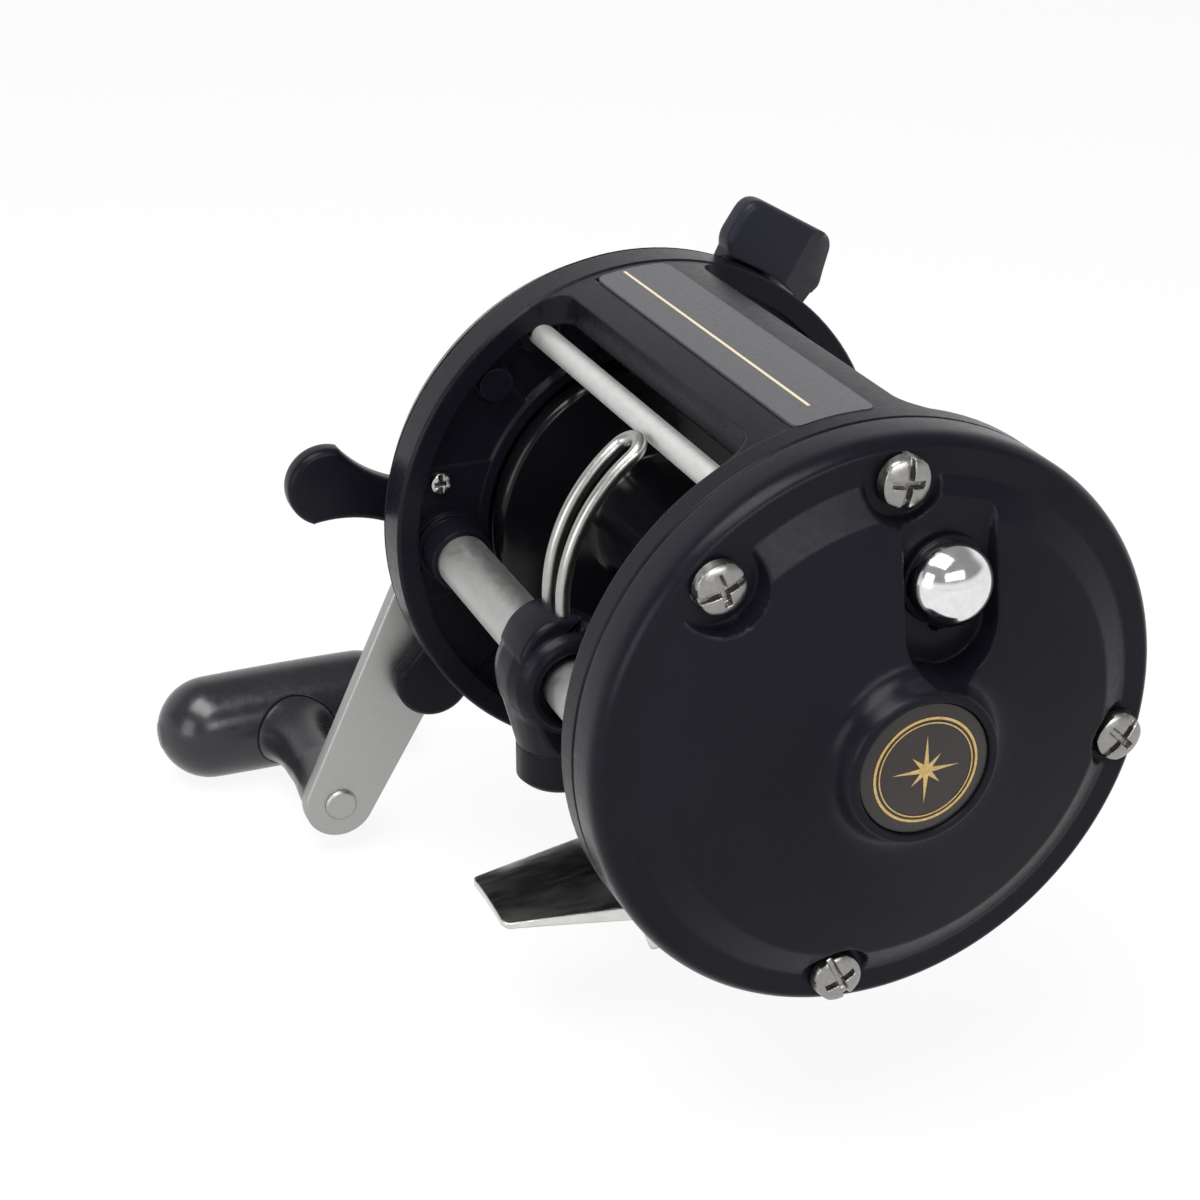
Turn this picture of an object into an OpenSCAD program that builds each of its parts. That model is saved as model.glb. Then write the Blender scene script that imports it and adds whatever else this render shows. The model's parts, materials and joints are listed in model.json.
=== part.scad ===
// Level-wind trolling reel, built as separate working pieces.
// X runs along the spool axis towards the handle, Y towards the rod tip, Z up.
// The origin lies on the rod seat's axis, midway between the two frame rings.

/* [Frame] */
// Outer radius of the rings and side plates
plate_r = 40; // [39:0.5:46]
// Width between the two rings
frame_w = 66; // [60:1:80]
// Thickness of the left ring
left_ring_t = 4.2; // [4.2:0.1:6]
// Thickness of the right ring
right_ring_t = 6.4; // [6.4:0.1:8]
// Radial width of each ring's rim
rim_w = 3.4; // [2.5:0.1:3.6]
// Wall of the side plates
plate_wall = 2.6; // [2:0.1:3]
// Spool's opening in each web, as a share of the plate's radius
web_share = 0.63; // [0.62:0.005:0.65]
// Front edge of the top bridge
bridge_front = 13.5; // [11:0.5:15]
// Rear edge of the top bridge
bridge_back = 7.5; // [5:0.5:10]
// Fillet where the bridges meet the rings
bridge_fillet = 5; // [2:0.5:8]
// Thickness of both bridges
bridge_t = 4; // [3:0.25:5]

/* [Spool] */
// Gap between a flange and its opening
flange_gap = 0.7; // [0.5:0.05:1.2]
// Arbor radius
arbor_r = 9.5; // [7:0.5:14]
// Shaft radius through the arbor
shaft_r = 2.5; // [2.2:0.1:3]

/* [Gears] */
// Room between the drive gear and the side plate's wall
gear_room = 1.08; // [0.8:0.01:1.6]
// Teeth on the drive gear
drive_teeth = 39; // [35:1:39]
// Teeth on the pinion
pinion_teeth = 11; // [11:1:12]
// Teeth on the spool's small gear
take_teeth = 14; // [12:1:14]
// Teeth on the idler's large wheel
idler_teeth = 38; // [36:1:38]
// Teeth on the idler's small wheel
step_teeth = 14; // [13:1:14]
// Teeth on the worm's gear
worm_teeth = 12; // [11:1:12]
// Backlash along the pitch circle
backlash = 0.12; // [0.06:0.01:0.2]

/* [Handle] */
// Length of the arm from hub to grip
arm_len = 54.5; // [40:0.5:65]
// Direction of the arm, from +Y towards +Z
arm_angle = -62; // [-180:0.5:180]
// Thickness of the arm
arm_t = 2.8; // [2:0.1:4]
// Length of the grip's barrel
grip_len = 45; // [36:1:60]
// Radius of the grip's barrel
grip_r = 9; // [7:0.5:11]
// Reach of the grip beyond the arm
grip_reach = 32; // [26:1:40]

/* [Star drag] */
// Number of arms
star_arms = 4; // [3:1:6]
// Distance from the hub to the centre of an arm's end
star_r = 28; // [20:0.5:30]
// Radius of each arm's end
star_end_r = 6.3; // [4:0.1:7]
// Direction of the first arm
star_angle = 21; // [0:1:90]

/* [Line guide] */
// Position of the guide along the spool at rest
guide_x = -10; // [-20:0.5:20]
// Length of the carriage
guide_len = 12; // [11:0.5:16]
// Outer radius of the guide's tube
tube_r = 4; // [3.8:0.1:4.5]
// Radius of the guide's wires
wire_r = 1; // [0.6:0.05:1.1]
// Distance between the two wires
wire_gap = 4.8; // [4:0.1:5.4]

/* [Foot] */
// Radius of the rod seat under the foot
saddle_r = 12; // [11.5:0.25:14]
// Thickness of the foot
foot_t = 2.2; // [1.6:0.1:3]
// Length of the foot
foot_len = 77.4; // [66:0.2:90]
// Width of the foot at its tips
foot_tip_w = 12.4; // [9:0.2:15]
// Width of the foot at its middle
foot_mid_w = 21.6; // [20.4:0.2:22.4]

/* [Clutch and click] */
// Travel of the clutch yoke
clutch_travel = 1.5; // [1.3:0.05:1.6]
// Travel of the click button
click_travel = 5.5; // [4:0.25:5.75]

/* [Fits] */
// Radial clearance of a running fit
run_gap = 0.07; // [0.04:0.01:0.09]
// Clearance between parts that pass each other
pass_gap = 0.4; // [0.3:0.05:0.5]

/* [Hidden] */
$fn = 64;
half_w = frame_w / 2;
axis_z = saddle_r + foot_t + plate_r;
// inner face of each web, and the outer faces of the two rings
web_x = half_w + 2.4;
web_t = 1.8;
left_x = half_w + left_ring_t;
right_x = half_w + right_ring_t;
rim_r = plate_r - rim_w;
web_open_r = plate_r * web_share;
flange_r = web_open_r - flange_gap;
bolt_r = plate_r - 5;
left_bolts = [46, 90, 191, 280];
right_bolts = [45, 95, 185, 285];
// the right plate slopes in from its seam, so its screws sit further in
right_bolt_r = plate_r - 6.4;
right_seat = right_x + 5.4;
right_head_r = 3;
left_pockets = [5.8, 5.2, 4.5, 4.5];
screw_r = 1.5;
// side plate profile heights above the seam
ledge_h = 7.4;
boss_h = 17.8;
cavity_h = 5.3;
medal_r = 9.05;
// bars
bar_r = 1.75;
bar_pos = [16.6, 30.66] * (plate_r / 40);
collar_len = 6.5;
ground_z = 11.6 * plate_r / 40;
// the largest module whose drive gear still clears the side plate
gear_m = (plate_r - plate_wall - gear_room) / (drive_teeth + pinion_teeth / 2 + 0.9);
// level-wind gear train lies on one line from the spool axis
guide_a = -2.4;
idler_d = gear_m * (take_teeth + idler_teeth) / 2;
tube_d = idler_d + gear_m * (step_teeth + worm_teeth) / 2;
tube_pos = [tube_d * cos(guide_a), tube_d * sin(guide_a)];
idler_pos = [idler_d * cos(guide_a), idler_d * sin(guide_a)];
worm_r = tube_r - 1.2;
wire_y = 0.35;
// drive side
drive_a = -17;
drive_d = gear_m * (drive_teeth + pinion_teeth) / 2;
drive_pos = [drive_d * cos(drive_a), drive_d * sin(drive_a)];
drive_gear_x = right_x + 1.1;
gear_t = 2.2;
pinion_x = right_x - 2.4;
yoke_x = right_x + 3.7;
yoke_t = 1;
bridge_x = web_x + web_t + 0.1;
bridge_plate_t = 1.2;
cavity_x = right_x + 6.5;
dome_x = cavity_x + 1.3;
face_x = right_x + 8.1;
drive_boss_x = right_x + 10;
yoke_a = drive_a + 90;
post_d = 11.5;
post_r = 1.1;
lever_a = 141;
lever_d = 24;
lever_pos = [lever_d * cos(lever_a), lever_d * sin(lever_a)];
lever_x = face_x + 0.5;
pad_a = 121;
pad_r = plate_r + 5.2;
pad_t = 4.6;
jack_r = 12;
star_x = drive_boss_x + 0.6;
star_t = 4.5;
arm_x = star_x + star_t + 0.7;
arm_end_r = 5.9;
arm_end = [drive_pos[0] + arm_len * cos(arm_angle), drive_pos[1] + arm_len * sin(arm_angle)];
grip_x = arm_x + arm_t + grip_reach;
// anti-reverse dog
ratchet_r = 9;
dog_pos = [drive_pos[0] + 14.5 * cos(-75), drive_pos[1] + 14.5 * sin(-75)];
dog_tip = [drive_pos[0] + 9.4 * cos(-48), drive_pos[1] + 9.4 * sin(-48)];
// click button
click_pos = [-5.8, 21.5];
click_wide = 6.6;
click_slot = 2;
click_floor = 9;
standoffs = [75, 195, 290];
standoff_d = 27;
foot_screw_y = 11;

// moves a shape built around the spool axis to its height
module lift() {
    translate([0, 0, axis_z]) children();
}

// lays a flat outline drawn in (Y, Z) between two stations along X
module slab(x0, x1) {
    translate([x0, 0, 0]) rotate([90, 0, 90]) linear_extrude(height = x1 - x0) children();
}

module disc(x0, x1, r, p = [0, 0]) {
    translate([x0, p[0], p[1]]) rotate([90, 0, 90]) cylinder(h = x1 - x0, r = r);
}

// turns a profile of [radius, x] points about an X axis through p
module turned(pts, p = [0, 0]) {
    translate([0, p[0], p[1]]) rotate([90, 0, 90]) rotate_extrude() polygon(pts);
}

function polar(r, a) = [r * cos(a), r * sin(a)];
function inv_deg(a) = tan(a) * 180 / PI - a;

// half width of an involute tooth at radius r, in degrees
function tooth_half(r, z, pa) =
    let (rp = gear_m * z / 2, rb = rp * cos(pa))
    90 / z - backlash / 4 / rp * 180 / PI + inv_deg(pa) - (r > rb ? inv_deg(acos(rb / r)) : 0);

// outline of a spur gear with one tooth centred on angle a0
function gear_points(z, a0, pa = 25, add = 0.9, ded = 1.15) =
    let (rp = gear_m * z / 2, ra = rp + gear_m * add, rr = rp - gear_m * ded, rb = rp * cos(pa))
    let (r0 = max(rr + 0.05, rb), steps = [0, 0.3, 0.6, 0.85, 1])
    [for (i = [0:z - 1])
        let (c = a0 + i * 360 / z)
        for (p = concat(
            [[rr, -tooth_half(r0, z, pa)]],
            [for (s = steps) let (r = r0 + (ra - r0) * s) [r, -tooth_half(r, z, pa)]],
            [for (s = [1, 0.85, 0.6, 0.3, 0]) let (r = r0 + (ra - r0) * s) [r, tooth_half(r, z, pa)]],
            [[rr, tooth_half(r0, z, pa)]]))
        polar(p[0], c + p[1])];

module spur(x0, x1, z, a0, p, bore) {
    difference() {
        slab(x0, x1) translate(p) polygon(gear_points(z, a0));
        disc(x0 - 1, x1 + 1, bore, p);
    }
}

// saw-tooth wheel
module ratchet(x0, x1, r, depth, z, p, bore) {
    difference() {
        slab(x0, x1) translate(p) polygon([for (i = [0:z - 1])
            for (q = [[r, i * 360 / z], [r - depth, (i + 0.06) * 360 / z]]) polar(q[0], q[1])]);
        disc(x0 - 1, x1 + 1, bore, p);
    }
}

// plan of a bridge between the rings, with round corners where it meets them
module bridge_plan(y0, y1) {
    f = bridge_fillet;
    difference() {
        translate([-half_w - 1, y0 - f]) square([frame_w + 2, y1 - y0 + 2 * f]);
        for (side = [[y1, 1], [y0, -1]]) {
            translate([-half_w + f, side[1] > 0 ? side[0] : side[0] - f - 1]) square([frame_w - 2 * f, f + 1]);
            for (s = [-1, 1])
                translate([s * (half_w - f), side[0] + side[1] * f]) circle(r = f);
        }
    }
}

module shell(r_in, r_out) {
    difference() {
        disc(-half_w - 1, half_w + 1, r_out);
        disc(-half_w - 2, half_w + 2, r_in);
    }
}

// stays between radii r0 and r1 and between angles a0 and a1
module sector(r0, r1, a0, a1) {
    intersection() {
        difference() {
            circle(r = r1);
            circle(r = r0);
        }
        polygon([[0, 0], polar(2 * r1, a0), polar(2 * r1, (a0 + a1) / 2), polar(2 * r1, a1)]);
    }
}

module frame() {
    h = half_w;
    lx = web_x - 0.8;
    color("#24242a") lift() difference() {
        union() {
            turned([[rim_r, -h], [plate_r - 0.4, -h], [plate_r, -h - 0.4], [plate_r, -left_x + 0.3],
                [plate_r - 0.3, -left_x], [web_open_r, -left_x], [web_open_r, -lx], [web_open_r + 1.6, -lx],
                [web_open_r + 2.4, -web_x], [rim_r, -web_x]]);
            turned([[rim_r, h], [plate_r - 0.4, h], [plate_r, h + 0.4], [plate_r, right_x - 0.3],
                [plate_r - 0.3, right_x], [rim_r, right_x], [rim_r, web_x + web_t], [web_open_r, web_x + web_t],
                [web_open_r, lx], [web_open_r + 1.6, lx], [web_open_r + 2.4, web_x], [rim_r, web_x]]);
            intersection() {
                linear_extrude(height = plate_r + 2) bridge_plan(-bridge_back, bridge_front);
                shell(plate_r - 0.2 - bridge_t, plate_r - 0.2);
            }
            intersection() {
                translate([0, 0, -plate_r - 2]) linear_extrude(height = plate_r) bridge_plan(-17, 17);
                shell(plate_r - 0.2 - bridge_t, plate_r - 0.2);
            }
            // pad that carries the foot
            translate([-foot_mid_w / 2, -17, -plate_r - 5]) cube([foot_mid_w, 34, 9]);
            for (a = left_bolts)
                disc(-left_x, -h - 0.5, 3.4, polar(bolt_r, a));
            for (a = right_bolts)
                disc(h + 0.5, right_x, 2.6, polar(right_bolt_r, a));
            // raised ground round the tube and its screw
            slab(web_x - 0.7, web_x + 0.2) intersection() {
                sector(web_open_r + 1.8, rim_r + 0.5, -16, 27);
                translate([0, -plate_r]) square([plate_r, plate_r + ground_z]);
            }
            slab(web_x - 0.35, web_x + 0.2) sector(web_open_r + 1.8, rim_r + 0.5, -40, 47);
            for (c = [[1.4, 1.5], [collar_len, 0.8]]) {
                disc(-web_x - 0.2, -web_x + c[0], tube_r + c[1], tube_pos);
                disc(web_x - c[0], web_x + 0.2, tube_r + c[1], tube_pos);
            }
            for (s = [-1, 1])
                translate([s > 0 ? web_x - 1.2 : -web_x - 0.2, bar_pos[0], bar_pos[1]])
                    rotate([90, 0, 90]) cylinder(h = 1.4, r = bar_r + 1.4);
        }
        disc(-left_x - 1, web_x + web_t + 1, tube_r, tube_pos);
        disc(-web_x - 0.8, web_x + 0.8, bar_r, bar_pos);
        for (a = left_bolts)
            disc(-left_x - 1, -h - 0.9, screw_r, polar(bolt_r, a));
        for (a = right_bolts)
            disc(h + 0.9, right_x + 1, screw_r, polar(right_bolt_r, a));
        disc(web_x - 2, web_x + web_t + 1, 0.9, polar(33.9 * plate_r / 40, 15.8));
        // seat of the label
        intersection() {
            translate([-31.5 * half_w / 33, -2.4, 0]) cube([63 * half_w / 33, 11.4, plate_r + 2]);
            shell(plate_r - 0.8, plate_r + 2);
        }
        // the foot's crown
        translate([0, 20, -axis_z]) rotate([90, 0, 0]) cylinder(h = 40, r = saddle_r + foot_t);
        for (s = [-1, 1])
            translate([0, s * foot_screw_y, -plate_r - 3]) cylinder(h = 6.4, r = 1.7);
    }
}

module left_side_plate() {
    R = plate_r;
    x0 = -left_x;
    color("#232329") lift() difference() {
        union() {
            difference() {
                turned([[0, x0], [R - 0.3, x0], [R, x0 - 0.3], [R, x0 - 5.2], [R - 0.3, x0 - 6.2],
                    [R - 0.9, x0 - 6.9], [R - 1.7, x0 - ledge_h], [R - 4.3, x0 - 7.8], [R - 7.9, x0 - 9.8],
                    [26, x0 - 10.9], [19.4, x0 - 11.9], [16.6, x0 - 12.9], [14.8, x0 - 14.2], [13.4, x0 - 15.8],
                    [12.5, x0 - 17.2], [11.8, x0 - boss_h], [medal_r, x0 - boss_h], [medal_r, x0 - boss_h + 0.8],
                    [0, x0 - boss_h + 0.8]]);
                turned([[0, x0 + 1], [R - plate_wall, x0 + 1], [R - plate_wall, x0 - cavity_h + 0.6],
                    [R - plate_wall - 0.6, x0 - cavity_h], [0, x0 - cavity_h]]);
            }
            // columns for the screws
            for (a = left_bolts)
                disc(x0 - 7, x0, 4, polar(bolt_r, a));
        }
        // scallops round the screw heads
        for (i = [0:3]) {
            disc(x0 - 30, x0 - ledge_h, left_pockets[i], polar(bolt_r, left_bolts[i]));
            disc(x0 - 30, x0 + 1, screw_r + 0.05, polar(bolt_r, left_bolts[i]));
        }
        // channel of the click button
        for (z = [click_pos[1] - click_travel - 0.6, click_pos[1]]) {
            disc(x0 - 30, x0 - click_floor, click_wide, [click_pos[0], z]);
            disc(x0 - 30, x0 + 1, click_slot, [click_pos[0], z]);
        }
        translate([x0 - 30, click_pos[0] - click_wide, click_pos[1] - click_travel - 0.6])
            cube([30 - click_floor, 2 * click_wide, click_travel + 0.6]);
        translate([x0 - 30, click_pos[0] - click_slot, click_pos[1] - click_travel - 0.6])
            cube([31, 2 * click_slot, click_travel + 0.6]);
        disc(x0 - 10.4, x0, 5, [0, 0]);
        disc(x0 - 12, x0, 2.8, [0, 0]);
        disc(x0 - 8, x0, 1.5, idler_pos);
    }
}

module right_side_plate() {
    R = plate_r;
    x0 = right_x;
    outside = [[0, x0], [R - 0.3, x0], [R, x0 + 0.3], [R - 0.8, x0 + 2], [R - 1.5, x0 + 4], [R - 2.6, x0 + 5.4],
        [R - 4.3, x0 + 6.4], [R - 7.9, face_x - 0.4], [18.4, face_x], [17.6, dome_x + 1.2], [16.8, dome_x + 1.7],
        [6.6, dome_x + 1.7], [6, dome_x + 2], [0, dome_x + 2]];
    color("#232329") lift() difference() {
        union() {
            difference() {
                turned(outside);
                turned([[0, x0 - 1], [R - plate_wall, x0 - 1], [R - plate_wall, x0 + 3.6],
                    [R - plate_wall - 1.6, x0 + 5], [R - 7, cavity_x], [16, cavity_x], [16, dome_x], [0, dome_x]]);
            }
            // pillars under the screws, cut to the plate's own outline
            intersection() {
                turned(outside);
                for (a = right_bolts)
                    disc(x0, face_x, right_head_r + 2.6, polar(right_bolt_r, a));
            }
            turned([[0, x0 + 6], [12, x0 + 6], [12, x0 + 8], [10, drive_boss_x], [0, drive_boss_x]], drive_pos);
            disc(cavity_x, lever_x - 0.1, 5.2, lever_pos);
            disc(dome_x - 0.3, dome_x + 1, 4.4, [0, 0]);
            for (a = standoffs)
                disc(bridge_x + bridge_plate_t, cavity_x + 1, 2.8, polar(standoff_d, a));
        }
        for (a = right_bolts) {
            disc(right_seat, x0 + 20, right_head_r + 1.6, polar(right_bolt_r, a));
            disc(x0 - 1, x0 + 20, screw_r + 0.05, polar(right_bolt_r, a));
        }
        disc(x0 + 5, x0 + 20, 6.2, drive_pos);
        disc(x0 - 1, cavity_x, 12.6, drive_pos);
        disc(x0, x0 + 20, 3 + run_gap, lever_pos);
        disc(x0, dome_x + 1.2, 3.2, [0, 0]);
        for (s = [-1, 1])
            disc(x0, dome_x + 0.8, post_r, polar(post_d, yoke_a + (s > 0 ? 0 : 180)));
        for (a = standoffs)
            disc(bridge_x, cavity_x - 1, 0.8, polar(standoff_d, a));
    }
}

module label_plate() {
    color("#77777c") lift() intersection() {
        translate([-31.3 * half_w / 33, -2.2, 0]) cube([62.6 * half_w / 33, 11, plate_r + 2]);
        shell(plate_r - 0.8, plate_r - 0.3);
    }
}

module medallion() {
    x0 = -left_x - boss_h + 0.8;
    color("#3a2a1c") lift() turned([[0, x0], [medal_r - 0.1, x0], [medal_r - 0.1, x0 - 0.4], [7, x0 - 0.7],
        [0, x0 - 0.9]]);
}

// oval-head screw whose head stands on x = 0 and whose shank runs to -len
module oval_screw(head_r, head_h, shank_r, len) {
    difference() {
        union() {
            turned([[0, 0], [head_r, 0], [head_r, head_h * 0.35], [head_r * 0.86, head_h * 0.7],
                [head_r * 0.5, head_h * 0.95], [0, head_h]]);
            disc(-len, 0.1, shank_r);
        }
        translate([head_h * 0.55, -0.45, -head_r - 1]) cube([3, 0.9, 2 * head_r + 2]);
        translate([head_h * 0.5, -head_r * 0.6, -0.45]) cube([3, head_r * 1.2, 0.9]);
    }
}

module left_plate_screws() {
    color("#d6d6d8") lift() for (i = [0:3])
        let (p = polar(bolt_r, left_bolts[i]))
        translate([-left_x - ledge_h, p[0], p[1]]) mirror([1, 0, 0]) rotate([20 + 37 * i, 0, 0])
            oval_screw(3.5, 2.8, screw_r, ledge_h + 3);
}

module right_plate_screws() {
    color("#d6d6d8") lift() for (i = [0:3])
        let (p = polar(right_bolt_r, right_bolts[i]))
        translate([right_seat, p[0], p[1]]) rotate([10 + 41 * i, 0, 0])
            oval_screw(right_head_r, 2.4, screw_r, 10.4);
}

module reel_foot() {
    l = foot_len / 2;
    t = foot_tip_w / 2;
    m = foot_mid_w / 2;
    half = [[t - 1.5, l], [t, l - 1.5], [t + 1.2, 20], [m, 17], [m, -17], [t + 1.2, -20], [t, -l + 1.5],
        [t - 1.5, -l]];
    color("#cfcfcc") difference() {
        intersection() {
            linear_extrude(height = saddle_r + foot_t + 1)
                polygon(concat(half, [for (i = [7:-1:0]) [-half[i][0], half[i][1]]]));
            translate([0, l + 1, 0]) rotate([90, 0, 0]) difference() {
                cylinder(h = foot_len + 2, r = saddle_r + foot_t);
                translate([0, 0, -1]) cylinder(h = foot_len + 4, r = saddle_r);
            }
        }
        // tips thin out towards their ends
        for (s = [0, 180])
            rotate([0, 0, s]) translate([-20, 24, saddle_r + foot_t]) rotate([-4.4, 0, 0]) cube([40, 40, 10]);
        for (s = [-1, 1]) {
            translate([0, s * foot_screw_y, saddle_r - 1]) cylinder(h = 6, r = 1.7);
            translate([0, s * foot_screw_y, saddle_r - 0.4]) cylinder(h = 1.9, r1 = 3.6, r2 = 1.7);
        }
    }
}

module foot_screws() {
    color("#b9b9ba") for (s = [-1, 1])
        translate([0, s * foot_screw_y, 0]) difference() {
            union() {
                translate([0, 0, saddle_r + 0.1]) cylinder(h = 1.4, r1 = 3.1, r2 = 1.7);
                translate([0, 0, saddle_r + 1.4]) cylinder(h = 4.1, r = 1.7);
            }
            translate([-4, -0.4, saddle_r - 1]) cube([8, 0.8, 1.8]);
        }
}

module crossbar() {
    color("#c3c3bf") lift() disc(-web_x - 0.7, web_x + 0.7, bar_r, bar_pos);
}

module level_wind_tube() {
    color("#c3c3bf") lift() difference() {
        disc(-left_x + 0.2, web_x + web_t - 0.1, tube_r, tube_pos);
        disc(-left_x - 1, web_x + web_t + 1, tube_r - 0.8, tube_pos);
        // slot for the pawl
        translate([-half_w + 3, tube_pos[0] - 1.9, tube_pos[1] - tube_r - 1]) cube([frame_w - 6, 3.8, tube_r + 1]);
    }
}

module tube_screw() {
    p = polar(33.9 * plate_r / 40, 15.8);
    color("#c9c9cb") lift() translate([web_x - 0.7, p[0], p[1]]) mirror([1, 0, 0])
        oval_screw(1.7, 1, 0.9, 2.2);
}

module worm_bushes() {
    color("#b8964f") lift() for (x = [-left_x + 0.4, web_x + web_t - 3.3])
        difference() {
            disc(x, x + 3, tube_r - 0.8, tube_pos);
            disc(x - 1, x + 4, 2 + run_gap, tube_pos);
        }
}

module bridge_plate() {
    color("#a9a9a6") lift() slab(bridge_x, bridge_x + bridge_plate_t) difference() {
        circle(r = 30.6);
        circle(r = 7.4);
        translate(drive_pos) circle(r = 2.5 + run_gap);
        translate(dog_pos) circle(r = 1.2);
        for (s = [0, 180])
            translate(polar(post_d, yoke_a + s)) circle(r = post_r);
        for (a = standoffs)
            translate(polar(standoff_d, a)) circle(r = 1.8);
    }
}

module bridge_screws() {
    color("#b9b9ba") lift() for (a = standoffs)
        turned([[0, bridge_x], [1.8, bridge_x], [1.8, bridge_x + bridge_plate_t], [0.8, bridge_x + bridge_plate_t],
            [0.8, bridge_x + 6], [0, bridge_x + 6]], polar(standoff_d, a));
}

module left_spool_bearing() {
    color("#b4b4b6") lift() turned([[2 + run_gap, -left_x - 10.3], [5, -left_x - 10.3], [5, -left_x - 7.3],
        [2 + run_gap, -left_x - 7.3]]);
}

module right_spool_bush() {
    color("#b8964f") lift() turned([[1.5 + run_gap, dome_x - 0.3], [3.2, dome_x - 0.3], [3.2, dome_x + 1.2],
        [1.5 + run_gap, dome_x + 1.2]]);
}

module drive_bush() {
    color("#b8964f") lift() turned([[4 + run_gap, cavity_x + 0.1], [6.2, cavity_x + 0.1], [6.2, drive_boss_x],
        [4 + run_gap, drive_boss_x]], drive_pos);
}

module idler_pin() {
    color("#b4b4b6") lift() {
        disc(-left_x - 7.9, -left_x - 0.4, 1.5, idler_pos);
        disc(-left_x - 0.5, -left_x - 0.1, 2.4, idler_pos);
    }
}

module yoke_posts() {
    color("#b4b4b6") lift() for (s = [0, 180])
        disc(bridge_x, dome_x + 0.7, post_r, polar(post_d, yoke_a + s));
}

// round wire wound along X
module coil(r, wire, turns, x0, x1, p) {
    n = turns * 14;
    k = 8;
    pts = [for (i = [0:n]) for (j = [0:k - 1])
        let (t = i / n, a = 360 * turns * t, q = r + wire * cos(360 * j / k))
        [x0 + wire + (x1 - x0 - 2 * wire) * t + wire * sin(360 * j / k), p[0] + q * cos(a), p[1] + q * sin(a)]];
    sides = [for (i = [0:n - 1]) for (j = [0:k - 1])
        [i * k + j, (i + 1) * k + j, (i + 1) * k + (j + 1) % k, i * k + (j + 1) % k]];
    ends = [[for (j = [0:k - 1]) j], [for (j = [k - 1:-1:0]) n * k + j]];
    polyhedron(points = pts, faces = concat(sides, ends));
}

module yoke_springs() {
    color("#9c9ca0") lift() for (s = [0, 180])
        coil(1.7, 0.26, 3, yoke_x + yoke_t, dome_x, polar(post_d, yoke_a + s));
}

module dog_pin() {
    color("#b4b4b6") lift() {
        disc(bridge_x, drive_gear_x - 0.1, 1.2, dog_pos);
    }
}

module spool() {
    a = half_w - 4;
    prof = [[shaft_r, a + 7.2], [8, a + 7.2], [8.6, a + 6.2], [flange_r - 4.9, a + 5], [flange_r - 3.1, a + 6.4],
        [flange_r - 0.9, a + 6.8], [flange_r, a + 6], [flange_r, a + 3.4], [flange_r - 0.7, a + 2.6],
        [arbor_r + 4, a + 1.2], [arbor_r + 1, a + 0.4], [arbor_r, a - 0.8]];
    color("#141417") lift() turned(concat(prof, [for (i = [len(prof) - 1:-1:0]) [prof[i][0], -prof[i][1]]]));
}

module spool_shaft() {
    dog_x = half_w + 3.4;
    color("#bcbcbe") lift() {
        turned([[0, -left_x - 11.6], [2, -left_x - 11.6], [2, -left_x - 6.6], [shaft_r, -left_x - 6.6],
            [shaft_r, dog_x], [2, dog_x], [2, dome_x - 0.6], [1.5, dome_x - 0.6], [1.5, dome_x + 1], [0, dome_x + 1]]);
        // driving dog
        translate([dog_x, -4.3, -1.5]) cube([1.7, 8.6, 3]);
    }
}

module take_off_gear() {
    color("#d8d4c4") lift() spur(-left_x - 4.8, -left_x - 3.2, take_teeth, guide_a, [0, 0], shaft_r);
}

module click_ratchet() {
    color("#b8964f") lift() {
        ratchet(-left_x - 1.5, -left_x - 0.1, 9.5, 1.1, 24, [0, 0], shaft_r);
        difference() {
            disc(-left_x - 3.1, -half_w - 3.3, 4, [0, 0]);
            disc(-left_x - 4, -half_w, shaft_r, [0, 0]);
        }
    }
}

module idler_gear() {
    a = guide_a;
    x = -left_x;
    color("#d8d4c4") lift() {
        spur(x - 4.8, x - 3.2, idler_teeth, a + 180 + 180 / idler_teeth, idler_pos, 1.5 + run_gap);
        spur(x - 3.2, x - 0.8, step_teeth, a, idler_pos, 1.5 + run_gap);
    }
}

module worm_shaft() {
    color("#b0b0b2") lift() turned([[0, -left_x - 2.5], [2, -left_x - 2.5], [2, -half_w + 1], [worm_r, -half_w + 1],
        [worm_r, half_w - 1], [2, half_w - 1], [2, web_x + web_t - 0.5], [0, web_x + web_t - 0.5]], tube_pos);
}

module worm_gear() {
    color("#d8d4c4") lift() spur(-left_x - 2.6, -left_x - 0.8, worm_teeth, guide_a + 180 + 180 / worm_teeth, tube_pos, 2);
}

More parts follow.
